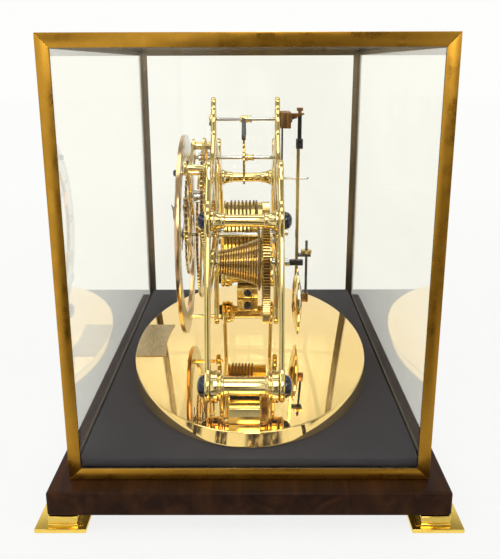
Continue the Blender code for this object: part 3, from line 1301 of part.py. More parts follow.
def set_origins():
    """Put each moving piece's origin on the axis that it turns or slides on,
    and every other piece's origin in the middle of its own box."""
    swing = world(PALLET_AT, SUSPENSION_Y)
    axes = (
        (world(CENTRE_AT), ("centre_arbor", "centre_wheel", "cannon_pinion", "minute_hand",
                            "hour_wheel", "hour_hand")),
        (world(FUSEE_AT), ("fusee", "great_wheel", "fusee_arbor")),
        (world(BARREL_AT), ("barrel", "barrel_cover", "mainspring", "line_on_barrel")),
        (world(THIRD_AT), ("third_arbor", "third_wheel")),
        (world(ESCAPE_AT), ("escape_arbor", "escape_wheel")),
        (world(MINUTE_AT), ("minute_wheel",)),
        (world(CLICK_AT), ("barrel_click",)),
        (world(PALLET_AT), ("pallets", "crutch")),
        (swing, ("pendulum_rod", "suspension_spring")),
        (world((0.0, BRACKET_H[1]), RATING_Y), ("rating_screw", "rating_nut", "pendulum_bob")),
    )
    on_axis = {name: point for point, names in axes for name in names}
    for obj in PARTS.objects:
        corners = [Vector(corner) for corner in obj.bound_box]
        point = on_axis.get(obj.name, sum(corners, Vector()) / len(corners))
        obj.data.transform(Matrix.Translation(-point))
        obj.location = point


make_feet()
make_base()
make_case()
make_plates()
make_pillars()
make_barrel()
make_click_work()
make_fusee()
make_line()
make_train()
make_pallets()
make_suspension()
make_pendulum()
make_bridge()
make_motion_work()
make_dial()
set_origins()
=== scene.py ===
"""Looks of the skeleton clock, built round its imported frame.

Lengths are in metres, but for those inside mm(). A spot is a place in X and
its height over the oval plate's top.
"""
import math

import bmesh
import bpy
import numpy as np
from mathutils import Matrix, Vector


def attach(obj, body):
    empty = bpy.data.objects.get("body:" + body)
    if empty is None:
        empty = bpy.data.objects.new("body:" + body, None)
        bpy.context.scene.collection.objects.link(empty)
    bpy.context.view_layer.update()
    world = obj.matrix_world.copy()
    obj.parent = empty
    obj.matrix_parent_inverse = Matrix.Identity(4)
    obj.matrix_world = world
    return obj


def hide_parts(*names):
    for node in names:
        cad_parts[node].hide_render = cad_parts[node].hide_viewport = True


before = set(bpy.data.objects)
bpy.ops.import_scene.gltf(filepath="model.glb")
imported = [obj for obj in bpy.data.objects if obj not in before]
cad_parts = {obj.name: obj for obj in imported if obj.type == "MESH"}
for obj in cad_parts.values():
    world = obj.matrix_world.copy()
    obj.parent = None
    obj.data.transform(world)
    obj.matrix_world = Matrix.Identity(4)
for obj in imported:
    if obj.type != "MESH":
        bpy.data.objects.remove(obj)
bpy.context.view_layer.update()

OVAL_TOP = 0.0549
GAP = 0.0003
TINY = 1e-9
RIGHT_ANGLE = math.pi / 2
SIDES = (("left", -1), ("right", 1))
ENDS = (("front", -1), ("rear", 1))

CENTRE = (0.0, 0.1047)
FUSEE = (0.0548, 0.0925)
BARREL = (-0.064, 0.092)
THIRD = (0.0441, 0.1485)
ESCAPE = (0.0, 0.176)
PALLET = (0.0, 0.210)
MINUTE = (0.031, 0.1355)
CLICK = (-0.0465, 0.0988)
LOW_PILLAR = (0.152, 0.0204)
HIGH_PILLAR = (0.1135, 0.1414)
SIDE_SPIRE = (0.089, 0.1762)
SPIRE_H = 0.2295
KNOT_H = 0.206
FOOT_LOW = (0.0, 0.0242)
FOOT_FAR = (-0.055, 0.1697)
FOOT_NEAR = (0.055, 0.1697)
POST_MID = (0.0, 0.1865)
POST_SIDE = (0.0915, 0.179)
FRONT_Y = (-0.034, -0.0295)
REAR_Y = (0.0225, 0.027)
BRIDGE_Y = (-0.0515, -0.0490)
BAND = 0.0052
LEG = 0.0060
LINE_R = 0.0009


def mm(*values):
    """Pairs of metres from a row of millimetres."""
    return [(a / 1000, b / 1000) for a, b in zip(values[::2], values[1::2])]


def at(spot, y=0.0):
    return Vector((spot[0], y, OVAL_TOP + spot[1]))


def polar(radius, angle, middle=(0.0, 0.0)):
    return (middle[0] + radius * math.cos(angle), middle[1] + radius * math.sin(angle))


def circle(radius, count, centre=(0.0, 0.0)):
    return [polar(radius, math.tau * k / count, centre) for k in range(count)]


def move(*place):
    return Matrix.Translation(place)


def spin(angle, axis):
    return Matrix.Rotation(angle, 4, axis)


# Materials.

def feed(tree, node, inputs):
    """Give a node's inputs their values, or the sockets that feed them."""
    for key, value in dict(inputs).items():
        if isinstance(value, bpy.types.NodeSocket):
            tree.links.new(value, node.inputs[key])
        else:
            node.inputs[key].default_value = value
    return node


def add(tree, kind, inputs=(), **settings):
    made = tree.nodes.new("ShaderNode" + kind)
    for key, value in settings.items():
        setattr(made, key, value)
    return feed(tree, made, inputs)


def calc(tree, operation, *values):
    return add(tree, "Math", enumerate(values), operation=operation).outputs[0]


def mix(tree, share, *shaders):
    """The first shader where share is 0, the second where it is 1."""
    return add(tree, "MixShader", enumerate((share, *shaders))).outputs[0]


def noise(tree, scale, detail=4.0, stretch=(1.0, 1.0, 1.0), rough=0.55, distortion=0.0):
    """Noise in the object's own metres, stretched along some axes."""
    own = add(tree, "TexCoord").outputs["Object"]
    place = add(tree, "Mapping", {"Vector": own, "Scale": stretch}).outputs["Vector"]
    return add(tree, "TexNoise", {"Vector": place, "Scale": scale, "Detail": detail,
                                  "Roughness": rough, "Distortion": distortion}).outputs["Fac"]


def spread(tree, value, low, high, source=(0.3, 0.7)):
    """A value brought from its source range to low and high."""
    return add(tree, "MapRange", {"Value": value, "From Min": source[0], "From Max": source[1],
                                  "To Min": low, "To Max": high}).outputs["Result"]


def ramp(tree, value, *stops):
    """Colours for a value. A stop is (place, red, green, blue)."""
    made = add(tree, "ValToRGB", {"Fac": value})
    line = made.color_ramp.elements
    while len(line) < len(stops):
        line.new(0.5)
    for element, (place, *colour) in zip(line, stops):
        element.position = place
        element.color = (*colour, 1.0)
    return made.outputs["Color"]


def bump(tree, height, depth, strength=1.0):
    return add(tree, "Bump", {"Height": height, "Distance": depth,
                              "Strength": strength}).outputs["Normal"]


def new_material(name):
    made = bpy.data.materials.new(name)
    made.use_nodes = True
    return made, made.node_tree, made.node_tree.nodes["Principled BSDF"]


def surface(tree, shader):
    feed(tree, tree.nodes["Material Output"], {"Surface": shader})


def metal(name, colour, aged, rough, patch=22.0, grain=1500.0, stretch=(1.0, 1.0, 1.0),
          depth=0.000004, amount=0.6, lacquer=0.0):
    """Worked metal: patches of age, and a fine grain in gloss and height."""
    made, tree, shader = new_material(name)
    middle = [(1 - amount / 2) * a + amount / 2 * b for a, b in zip(colour, aged)]
    patches = noise(tree, patch, 5.0, rough=0.62, distortion=0.4)
    fine = noise(tree, grain, 3.0, stretch)
    feed(tree, shader, {
        "Metallic": 1.0, "Coat Weight": lacquer, "Normal": bump(tree, fine, depth),
        "Base Color": ramp(tree, patches, (0.34, *(aged if amount > 0.8 else middle)),
                           (0.50, *colour), (0.66, *middle)),
        "Roughness": spread(tree, fine, 0.72 * rough, 1.35 * rough)})
    return made


BRASS_LIGHT = (0.81, 0.64, 0.28)
BRASS_DEEP = (0.54, 0.40, 0.14)
mirror_brass = metal("mirror_brass", (1.0, 0.72, 0.28), (0.93, 0.61, 0.19), 0.022, 9.0, 700.0,
                     depth=0.0000006, amount=0.5)
polished_brass = metal("polished_brass", BRASS_LIGHT, BRASS_DEEP, 0.11, 30.0, 1200.0)
turned_brass = metal("turned_brass", (0.88, 0.71, 0.34), BRASS_DEEP, 0.08, 40.0, 2600.0,
                     (0.03, 1.0, 0.03))
wheel_brass = metal("wheel_brass", (0.72, 0.55, 0.22), BRASS_DEEP, 0.15, 45.0, 2400.0,
                    (0.04, 1.0, 1.0))
foot_brass = metal("foot_brass", (0.98, 0.70, 0.15), (0.76, 0.47, 0.07), 0.14, 60.0, 1800.0,
                   (1.0, 1.0, 0.05))
aged_brass = metal("worn_brass", (0.58, 0.295, 0.034), (0.41, 0.195, 0.020), 0.29, 9.0, 1300.0,
                   (0.06, 0.06, 0.06), 0.00001, 0.8)
shaded_brass = metal("shaded_brass", (0.20, 0.150, 0.085), (0.12, 0.090, 0.050), 0.34, 9.0,
                     1300.0)
cock_brass = metal("cock_brass", (0.30, 0.155, 0.060), (0.17, 0.085, 0.035), 0.28, 90.0, 2000.0)
plaque_brass = metal("plaque_brass", (0.47, 0.34, 0.15), (0.33, 0.235, 0.10), 0.28, 70.0, 2400.0,
                     (0.05, 1.0, 1.0))
ring_brass = metal("ring_brass", (0.74, 0.50, 0.27), (0.52, 0.32, 0.16), 0.16, 40.0, 2200.0)
steel = metal("clean_steel", (0.66, 0.66, 0.66), (0.44, 0.43, 0.42), 0.16, 80.0, 2600.0,
              (1.0, 0.04, 1.0))
dark_steel = metal("dull_steel", (0.075, 0.072, 0.07), (0.035, 0.033, 0.032), 0.28, 90.0, 2600.0)
blued = metal("blued", (0.012, 0.019, 0.050), (0.012, 0.010, 0.026), 0.10, 120.0, 3000.0,
              amount=1.0, lacquer=1.0)
silvered = metal("silvered", (0.80, 0.79, 0.75), (0.66, 0.63, 0.57), 0.30, 35.0, 3500.0)


def wood():
    made, tree, shader = new_material("dark_mahogany")
    grain = noise(tree, 46.0, 7.0, (0.10, 1.0, 1.0), 0.62, 1.2)
    pores = noise(tree, 900.0, 2.0, (0.04, 1.0, 1.0))
    feed(tree, shader, {
        "Base Color": ramp(tree, grain, (0.30, 0.012, 0.0036, 0.0007),
                           (0.50, 0.030, 0.0090, 0.0014), (0.72, 0.062, 0.0200, 0.0036)),
        "Roughness": spread(tree, pores, 0.40, 0.60), "Specular IOR Level": 0.13,
        "Coat Weight": 0.02, "Coat Roughness": 0.18, "Normal": bump(tree, pores, 0.00004, 0.7)})
    return made


def cloth():
    """Close-woven covering: two crossing sets of threads, and worn patches."""
    made, tree, shader = new_material("violet_cloth")
    patches = noise(tree, 16.0, 6.0, rough=0.7)
    own = add(tree, "TexCoord").outputs["Object"]
    threads = [add(tree, "TexWave", {"Vector": own, "Scale": 640.0, "Distortion": 0.6},
                   bands_direction=way).outputs["Fac"] for way in ("X", "Y")]
    fluff = calc(tree, "ADD", calc(tree, "MULTIPLY", *threads), noise(tree, 2400.0, 3.0))
    feed(tree, shader, {
        "Base Color": ramp(tree, patches, (0.30, 0.014, 0.0115, 0.0160),
                           (0.55, 0.023, 0.0190, 0.0250), (0.75, 0.038, 0.0320, 0.0390)),
        "Roughness": spread(tree, patches, 0.72, 0.92), "Specular IOR Level": 0.25,
        "Sheen Weight": 0.10, "Sheen Roughness": 0.45,
        "Normal": bump(tree, fluff, 0.00004, 0.5)})
    return made


def gut():
    made, tree, shader = new_material("gut_fibre")
    fibres = noise(tree, 1500.0, 3.0, (1.0, 0.25, 1.0))
    feed(tree, shader, {
        "Base Color": ramp(tree, fibres, (0.30, 0.12, 0.060, 0.016), (0.55, 0.27, 0.155, 0.045),
                           (0.75, 0.42, 0.265, 0.090)),
        "Roughness": spread(tree, fibres, 0.40, 0.60), "Specular IOR Level": 0.3,
        "Normal": bump(tree, fibres, 0.00006)})
    return made


def ink():
    made, tree, shader = new_material("black_wax")
    grain = noise(tree, 3000.0, 2.0)
    feed(tree, shader, {
        "Base Color": ramp(tree, grain, (0.3, 0.006, 0.006, 0.007), (0.7, 0.016, 0.015, 0.016)),
        "Roughness": spread(tree, grain, 0.30, 0.50)})
    return made


def glass():
    """Window glass that lets the lamps' light through to the clock."""
    made, tree, shader = new_material("window_glass")
    smears = noise(tree, 26.0, 6.0, rough=0.7)
    feed(tree, shader, {
        "Base Color": (1.0, 0.998, 0.955, 1.0), "Transmission Weight": 1.0, "IOR": 1.34,
        "Roughness": spread(tree, smears, 0.0, 0.018, (0.45, 0.80))})
    shadow = add(tree, "LightPath").outputs["Is Shadow Ray"]
    surface(tree, mix(tree, shadow, shader.outputs[0], add(tree, "BsdfTransparent").outputs[0]))
    return made


dark_wood = wood()
violet_cloth = cloth()
gut_fibre = gut()
black_wax = ink()
window_glass = glass()


# Shapes.

def add_object(name, data):
    obj = bpy.data.objects.new(name, data)
    bpy.context.scene.collection.objects.link(obj)
    return obj


def coat(obj, look):
    obj.data.materials.clear()
    obj.data.materials.append(look)
    return obj


def finish(look, bm, sharp=32.0, name="part"):
    bmesh.ops.remove_doubles(bm, verts=bm.verts, dist=1e-7)
    bmesh.ops.recalc_face_normals(bm, faces=bm.faces)
    mesh = bpy.data.meshes.new(name)
    bm.to_mesh(mesh)
    bm.free()
    mesh.shade_smooth()
    mesh.set_sharp_from_angle(angle=math.radians(sharp))
    return coat(add_object(name, mesh), look)


def show(name, body, parts, *nodes):
    """Join parts as one piece on a body, in place of CAD nodes. Each part
    keeps its own materials."""
    bm = bmesh.new()
    looks = []
    for part in parts:
        own = list(part.data.materials)
        looks += [look for look in own if look not in looks]
        start = len(bm.faces)
        bm.from_mesh(part.data)
        bm.faces.ensure_lookup_table()
        for face in bm.faces[start:]:
            face.material_index = looks.index(own[face.material_index])
        bpy.data.objects.remove(part, do_unlink=True)
    mesh = bpy.data.meshes.new(name)
    bm.to_mesh(mesh)
    bm.free()
    for look in looks:
        mesh.materials.append(look)
    piece = add_object(name, mesh)
    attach(piece, body)
    if nodes:
        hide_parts(*nodes)
    return piece


def dress(node, body, *parts):
    return show("dress_" + node, body, parts, node)


def eased(points, radius, closed=False, steps=3):
    """Round the corners of an outline or a profile."""
    out = []
    count = len(points)
    for k, point in enumerate(points):
        if not closed and k in (0, count - 1):
            out.append(tuple(point))
            continue
        here = Vector(point)
        before = Vector(points[k - 1]) - here
        after = Vector(points[(k + 1) % count]) - here
        reach = min(radius, 0.48 * before.length, 0.48 * after.length)
        if reach < TINY or abs(before.normalized().dot(after.normalized())) > 0.995:
            out.append(tuple(point))
            continue
        a = here + before.normalized() * reach
        b = here + after.normalized() * reach
        for n in range(steps + 1):
            t = n / steps
            out.append(tuple((1 - t) ** 2 * a + 2 * t * (1 - t) * here + t * t * b))
    return out


def rings_of(bm, profile, steps):
    """Rings of vertices about Z, for a profile of (radius, height)."""
    return [[bm.verts.new((*polar(radius, math.tau * k / steps), height))
             for k in range(1 if radius < TINY else steps)] for radius, height in profile]


def skin(bm, rings, closed=False):
    """Faces from ring to ring. A ring of one vertex is a tip."""
    for a, b in zip(rings, rings[1:] + rings[:closed]):
        for k in range(max(len(a), len(b))):
            ring = list(dict.fromkeys((a[k % len(a)], a[(k + 1) % len(a)],
                                       b[(k + 1) % len(b)], b[k % len(b)])))
            if len(ring) > 2:
                bm.faces.new(ring)


def lathe(look, profile, where, steps=64, closed=False, sharp=32.0):
    """Turn a profile of (radius, place along the axis) about local Z."""
    bm = bmesh.new()
    skin(bm, rings_of(bm, profile, steps), closed)
    bm.transform(where)
    return finish(look, bm, sharp)


def turned(look, profile, spot, steps=64, ease=0.0003, closed=False):
    """A turned part about an axis along Y. The profile gives (radius, y)."""
    return lathe(look, eased(profile, ease, closed), move(*at(spot)) @ spin(-RIGHT_ANGLE, "X"),
                 steps, closed)


def block(look, low, high, ease=0.0004, segments=3):
    """A block between two opposite corners, with eased edges."""
    bm = bmesh.new()
    size = [abs(b - a) for a, b in zip(low, high)]
    middle = [(a + b) / 2 for a, b in zip(low, high)]
    bmesh.ops.create_cube(bm, size=1.0, matrix=move(*middle) @ Matrix.Diagonal((*size, 1.0)))
    if ease:
        bmesh.ops.bevel(bm, geom=bm.edges, offset=ease, segments=segments, profile=0.5,
                        affect="EDGES")
    return finish(look, bm)


def area(loop):
    xs, hs = np.array(loop).T
    return 0.5 * float(np.sum(xs * np.roll(hs, -1) - np.roll(xs, -1) * hs))


def slab(look, outer, holes, y_range, spot=(0.0, 0.0), ease=0.0003):
    """Extrude outlines, drawn in X and height, between two Y faces, with
    eased edges."""
    curve = bpy.data.curves.new("outline", "CURVE")
    curve.dimensions = "2D"
    curve.fill_mode = "BOTH"
    curve.extrude = (y_range[1] - y_range[0]) / 2 - ease
    curve.bevel_depth = ease
    curve.bevel_resolution = 2 if ease > 0.0012 else int(ease > 0.0004)
    curve.offset = -ease
    for loops, turn in ((outer, 1), (holes, -1)):
        for loop in loops:
            if area(loop) * turn < 0:
                loop = loop[::-1]
            spline = curve.splines.new("POLY")
            spline.points.add(len(loop) - 1)
            for point, (x, h) in zip(spline.points, loop):
                point.co = (x, h, 0.0, 1.0)
            spline.use_cyclic_u = True
    shape = add_object("outline", curve)
    bpy.context.view_layer.update()
    graph = bpy.context.evaluated_depsgraph_get()
    mesh = bpy.data.meshes.new_from_object(shape.evaluated_get(graph))
    bpy.data.objects.remove(shape, do_unlink=True)
    mesh.transform(move(*at(spot, sum(y_range) / 2)) @ spin(RIGHT_ANGLE, "X"))
    bm = bmesh.new()
    bm.from_mesh(mesh)
    bpy.data.meshes.remove(mesh)
    return finish(look, bm)


def upright(obj, place, turn=RIGHT_ANGLE):
    """Stand a part made about the axis along Y on a place, about Z."""
    obj.data.transform(move(*place) @ spin(turn, "X") @ move(0, 0, -OVAL_TOP))
    return obj


def pipe(look, points, radius, sides=12):
    """A round wire through points, with closed ends."""
    bm = bmesh.new()
    pts = [Vector(p) for p in points]
    ways = [(b - a).normalized() for a, b in zip(pts, pts[1:])]
    side = ways[0].orthogonal().normalized()
    rings = []
    for k, point in enumerate(pts):
        way = (ways[max(k - 1, 0)] + ways[min(k, len(ways) - 1)]).normalized()
        side = (side - way * side.dot(way)).normalized()
        other = way.cross(side)
        rings.append([bm.verts.new(point + side * x + other * h) for x, h in circle(radius, sides)])
    skin(bm, rings)
    bm.faces.new(rings[0][::-1])
    bm.faces.new(rings[-1])
    return finish(look, bm, 60.0)


def darken(obj, spot, low, high):
    """Patina and painted shade: darker cock brass on the faces along the axis, between two radii
    from a spot.
    """
    obj.data.materials.append(cock_brass)
    for face in obj.data.polygons:
        away = face.center - at(spot)
        if abs(face.normal.y) < 0.7 and low < math.hypot(away.x, away.z) < high:
            face.material_index = 1
    return obj


def smooth(points, per):
    """Points of a smooth curve through the given ones."""
    pts = [Vector(p) for p in points]
    pts = [2 * pts[0] - pts[1]] + pts + [2 * pts[-1] - pts[-2]]
    out = []
    for a, b, c, d in zip(pts, pts[1:], pts[2:], pts[3:]):
        for t in (k / per for k in range(per)):
            out.append(0.5 * ((2 * b) + (c - a) * t + (2 * a - 5 * b + 4 * c - d) * t * t
                              + (3 * b - a - 3 * c + d) * t ** 3))
    return [tuple(p) for p in out + [pts[-2]]]


def band_field(shapes, fillet, cell):
    """The joined outline of bands and discs as a field of distances. A shape
    is (line of points, half width, or half widths at both ends)."""
    cloud = np.array([p for line, _ in shapes for p in line])
    widest = max(np.max(half) for _, half in shapes)
    low = cloud.min(0) - widest - 4 * cell
    count = np.ceil((cloud.max(0) + widest + 4 * cell - low) / cell).astype(int)
    field = np.full(tuple(count), 1.0)
    for line, half in shapes:
        line = np.array(line, float)
        halves = np.linspace(*half, len(line)) if np.ndim(half) else np.full(len(line), half)
        reach = halves.max() + 2 * fillet + 3 * cell
        i0, j0 = np.maximum(((line.min(0) - reach - low) / cell).astype(int), 0)
        i1, j1 = np.minimum(((line.max(0) + reach - low) / cell).astype(int) + 1, count)
        xs = low[0] + cell * np.arange(i0, i1)[:, None]
        hs = low[1] + cell * np.arange(j0, j1)[None, :]
        own = np.full((i1 - i0, j1 - j0), 1.0)
        if len(line) == 1:
            own = np.hypot(xs - line[0, 0], hs - line[0, 1]) - halves[0]
        for a, b, wide_a, wide_b in zip(line, line[1:], halves, halves[1:]):
            run = b - a
            share = np.clip(((xs - a[0]) * run[0] + (hs - a[1]) * run[1]) / run.dot(run), 0, 1)
            far = np.hypot(xs - a[0] - share * run[0], hs - a[1] - share * run[1])
            own = np.minimum(own, far - wide_a - share * (wide_b - wide_a))
        part = field[i0:i1, j0:j1]
        near = np.clip(1 - np.abs(part - own) / max(fillet, TINY), 0, 1)
        field[i0:i1, j0:j1] = np.minimum(part, own) - near * near * fillet / 4
    return field, low


def outlines(shapes, fillet=0.004, cell=0.0005, even=0.00002):
    """Closed loops round the joined shapes, with fillets where they meet."""
    field, low = band_field(shapes, fillet, cell)
    inside = field < 0
    mixed = (inside[:-1, :-1].astype(int) + inside[1:, :-1] + inside[:-1, 1:] + inside[1:, 1:])
    joins = {}
    for i, j in np.argwhere((mixed > 0) & (mixed < 4)):
        edges = []
        for a, b in (((i, j), (i + 1, j)), ((i, j), (i, j + 1)), ((i, j + 1), (i + 1, j + 1)),
                     ((i + 1, j), (i + 1, j + 1))):
            if inside[a] != inside[b]:
                edges.append((tuple(map(int, a)), tuple(map(int, b))))
        for a, b in zip(edges[::2], edges[1::2]):
            joins.setdefault(a, []).append(b)
            joins.setdefault(b, []).append(a)
    loops = []
    while joins:
        start = next(iter(joins))
        chain = [start]
        here = joins.pop(start)[0]
        while here in joins:
            chain.append(here)
            here = next((n for n in joins.pop(here) if n in joins), start)
        points = []
        for a, b in chain:
            share = field[a] / (field[a] - field[b])
            points.append(low + cell * (np.array(a) + share * (np.array(b) - np.array(a))))
        if len(points) > 8:
            loops.append(thin_out(np.array(points), even))
    loops.sort(key=lambda loop: -abs(area(loop)))
    return loops


def thin_out(points, even):
    """Smooth a loop a little and leave out points on its straight runs."""
    for _ in range(3):
        points = 0.5 * points + 0.25 * (np.roll(points, 1, 0) + np.roll(points, -1, 0))
    kept = [0]
    while kept[-1] < len(points) - 1:
        first = kept[-1]
        last = first + 1
        while last + 1 < len(points) and last - first < 14:
            run = points[last + 1] - points[first]
            off = points[first + 1:last + 1] - points[first]
            side = np.abs(run[0] * off[:, 1] - run[1] * off[:, 0]) / max(np.hypot(*run), TINY)
            if side.max() > even:
                break
            last += 1
        kept.append(last)
    return [tuple(map(float, points[k])) for k in kept[:-1]]


def screw(place, radius, height, way=(0, -1, 0), turn=0.4, look=blued):
    """A slotted screw head that stands on a face and looks along a way."""
    slot = 0.16 * radius
    bm = bmesh.new()
    rings = rings_of(bm, eased([(radius, 0.0), (radius, 0.72 * height), (0.62 * radius, height),
                                (0.0, height)], 0.35 * height, steps=2), 28)
    skin(bm, rings)
    bm.faces.new(rings[0][::-1])
    for level in (-slot, slot):
        bmesh.ops.bisect_plane(bm, geom=bm.verts[:] + bm.edges[:] + bm.faces[:],
                               plane_co=(0.0, level, 0.0), plane_no=(0.0, 1.0, 0.0))
    top = [f for f in bm.faces if abs(f.calc_center_median().y) < slot * 0.98
           and f.calc_center_median().z > 0.6 * height]
    made = bmesh.ops.extrude_face_region(bm, geom=top)
    sunk = [v for v in made["geom"] if isinstance(v, bmesh.types.BMVert)]
    bmesh.ops.translate(bm, verts=sunk, vec=(0.0, 0.0, -0.32 * height))
    bmesh.ops.delete(bm, geom=top, context="FACES")
    bm.transform(move(*place) @ Vector(way).to_track_quat("Z", "Y").to_matrix().to_4x4()
                 @ spin(turn, "Z"))
    return finish(look, bm, 28.0)


# Teeth.

def toothed_outline(teeth, mod, phase, corners):
    """Teeth from half a tooth's corners: (modules over the pitch circle, share
    of a tooth's angle before its middle)."""
    whole = list(corners) + [(rise, -share) for rise, share in reversed(corners)]
    return [polar(mod * (teeth / 2 + rise), phase + (k + share) * (math.tau / teeth))
            for k in range(teeth) for rise, share in whole]


WHEEL_CORNERS = ((-1.35, -0.44), (-0.2, -0.25), (0.45, -0.17), (0.86, -0.07))
LEAF_CORNERS = ((-1.18, -0.26), (-0.1, -0.17), (0.45, -0.12), (0.68, -0.04))


def knurl(count, high, low):
    return [polar(high if k % 2 else low, math.tau * k / count) for k in range(count)]


def bearing(a, b):
    return math.atan2(b[1] - a[1], b[0] - a[0])


def module(a, b, teeth_a, teeth_b):
    return 2 * (Vector(a) - Vector(b)).length / (teeth_a + teeth_b)


def meshed(wheel_at, leaf_at, wheel_phase, wheel_teeth, leaf_teeth):
    line = bearing(wheel_at, leaf_at)
    return line + math.pi + (math.pi + (line - wheel_phase) * wheel_teeth) / leaf_teeth


def arm_openings(hub, rim, arms, width, turn=0.0, ease=0.0016):
    loops = []
    for k in range(arms):
        low = turn + math.tau * k / arms
        high = turn + math.tau * (k + 1) / arms
        loop = []
        for radius, per, way in ((rim, 14, 1), (hub, 6, -1)):
            inset = width / 2 / radius
            span = [low + inset + (high - low - 2 * inset) * n / per for n in range(per + 1)]
            loop += [polar(radius, angle) for angle in span[::way]]
        loops.append(eased(loop, ease, True, 4))
    return loops


def wheel(spot, teeth, mod, y_range, phase, bore, arms, hub, turn=0.0, rim_width=0.0046,
          arm=0.0042, ease=0.0016, sides=32):
    """A crossed-out wheel, with patina and painted shade as darker brass between its teeth."""
    rim = mod * (teeth / 2 - 1.70) - rim_width
    made = slab(wheel_brass, [toothed_outline(teeth, mod, phase, WHEEL_CORNERS)],
                [circle(bore, sides)] + arm_openings(hub, rim, arms, arm, turn, ease),
                y_range, spot, 0.00016)
    return darken(made, spot, mod * (teeth / 2 - 1.6), mod * (teeth / 2 - 0.45))


def leaves(spot, teeth, mod, y_range, phase, bore=0.0006, sides=12, ease=0.00012):
    return slab(steel, [toothed_outline(teeth, mod, phase, LEAF_CORNERS)],
                [circle(bore, sides)], y_range, spot, ease)


GREAT_MOD = module(FUSEE, CENTRE, 132, 12)
FIRST_MOD = module(CENTRE, THIRD, 84, 7)
SECOND_MOD = module(THIRD, ESCAPE, 84, 7)
FAST_MOD = module(MINUTE, CENTRE, 36, 12)
SLOW_MOD = module(CENTRE, MINUTE, 32, 8)
GREAT_PHASE = bearing(FUSEE, CENTRE)
FIRST_PHASE = bearing(CENTRE, THIRD)
SECOND_PHASE = bearing(THIRD, ESCAPE)
FAST_PHASE = bearing(MINUTE, CENTRE)
SLOW_PHASE = bearing(CENTRE, MINUTE)


# Base.

def make_base():
    for side, sx in SIDES:
        for end, sy in ENDS:
            parts = []
            for row in ((230, 149, 36, 0, 3, 0.5), (227, 140, 21, 2.8, 5.2, 0.4),
                        (226.1, 139.1, 19.2, 5, 6.8, 0), (227, 140, 21, 6.6, 11.2, 0.6)):
                x, y, size, z0, z1, ease = (value / 1000 for value in row)
                parts.append(block(foot_brass, (sx * x, sy * y, z0),
                                   (sx * (x - size), sy * (y - size), z1), ease))
            parts.append(screw((sx * 0.2235, sy * 0.1175, 0.0030), 0.0022, 0.0006, (0, 0, 1),
                               0.5 * sx, foot_brass))
            dress(f"foot_{end}_{side}", "clock_frame", *parts)
    show("wooden_base", "clock_frame", [
        block(dark_wood, (-0.227, -0.140, 0.0115), (0.227, 0.140, 0.030), 0.0022, 5),
        block(dark_wood, (-0.2032, -0.1197, 0.0295), (0.2032, 0.1197, 0.0424), 0.0008)],
        "base_board")
    hem = 0.0302
    cover = block(violet_cloth, (-0.204, -0.1205, hem), (0.204, 0.1205, 0.0433), 0.0014, 4)
    bm = bmesh.new()
    bm.from_mesh(cover.data)
    low = [f for f in bm.faces if f.normal.z < -0.05]
    bmesh.ops.delete(bm, geom=low, context="FACES")
    bmesh.ops.solidify(bm, geom=bm.faces[:], thickness=0.0006)
    for vert in bm.verts:
        vert.co.z = max(vert.co.z, hem)
    bm.to_mesh(cover.data)
    bm.free()
    cover = show("platform_cloth", "clock_frame", [cover])
    make_oval()


def make_oval():
    z0, z1, rx, ry = 0.0436, OVAL_TOP, 0.1906, 0.1094
    rim = [(0.0, z0), (rx - 0.0004, z0)]
    for share in (k / 8 for k in range(9)):
        rim.append((rx - 0.0034 * (0.75 * share + 0.25 * share ** 2),
                    z0 + 0.0008 + (z1 - z0 - 0.0013) * share))
    oval = lathe(mirror_brass, eased(rim + [(rx - 0.0041, z1), (0.0, z1)], 0.0003),
                 Matrix.Diagonal((1.0, ry / rx, 1.0, 1.0)), 224, sharp=24.0)
    show("oval_plate", "clock_frame", [oval], "oval_base_plate")
    outer = []
    inner = []
    inset = 0.0024
    for x in (-0.0415 + 0.084 * k / 24 for k in range(25)):
        outer.append((x, -(ry - inset) * math.sqrt(1 - (x / (rx - inset)) ** 2)))
        inner.append((x, -0.0768 - 0.0030 * (1 - (x / 0.042) ** 2)))
    loop = eased(outer + inner[::-1], 0.0006, True)
    half = 0.00035
    parts = [upright(slab(plaque_brass, [loop], [], (-half, half), ease=0.0001),
                     (0, 0, OVAL_TOP + half), -RIGHT_ANGLE)]
    for y in (-0.0815, -0.0985):
        for x in (-0.038, 0.038):
            parts.append(screw((x, y, OVAL_TOP + 0.0006), 0.0011, 0.0004, (0, 0, 1), x * 20,
                               plaque_brass))
    show("bare_plaque", "clock_frame", parts)
    inner_end = 0.1295
    for side, sx in SIDES:
        seat = block(polished_brass, (sx * inner_end, -0.01535, OVAL_TOP + GAP),
                     (sx * 0.1745, 0.00835, OVAL_TOP + 0.0126), 0.0008, 4)
        head = lathe(blued, eased(mm(4.2, -0.4, 4.2, 0.8, 3, 1.8, 0, 2.2), 0.0006),
                     move(sx * inner_end, -0.0035, OVAL_TOP + 0.0066)
                     @ spin(-sx * RIGHT_ANGLE, "Y"), 36)
        show(f"dress_seat_{side}", "clock_frame", [seat, head], f"pillar_seat_{side}")


# Skeleton frame.

def mirrored(shapes):
    return shapes + [([(-x, h) for x, h in line], half) for line, half in shapes]


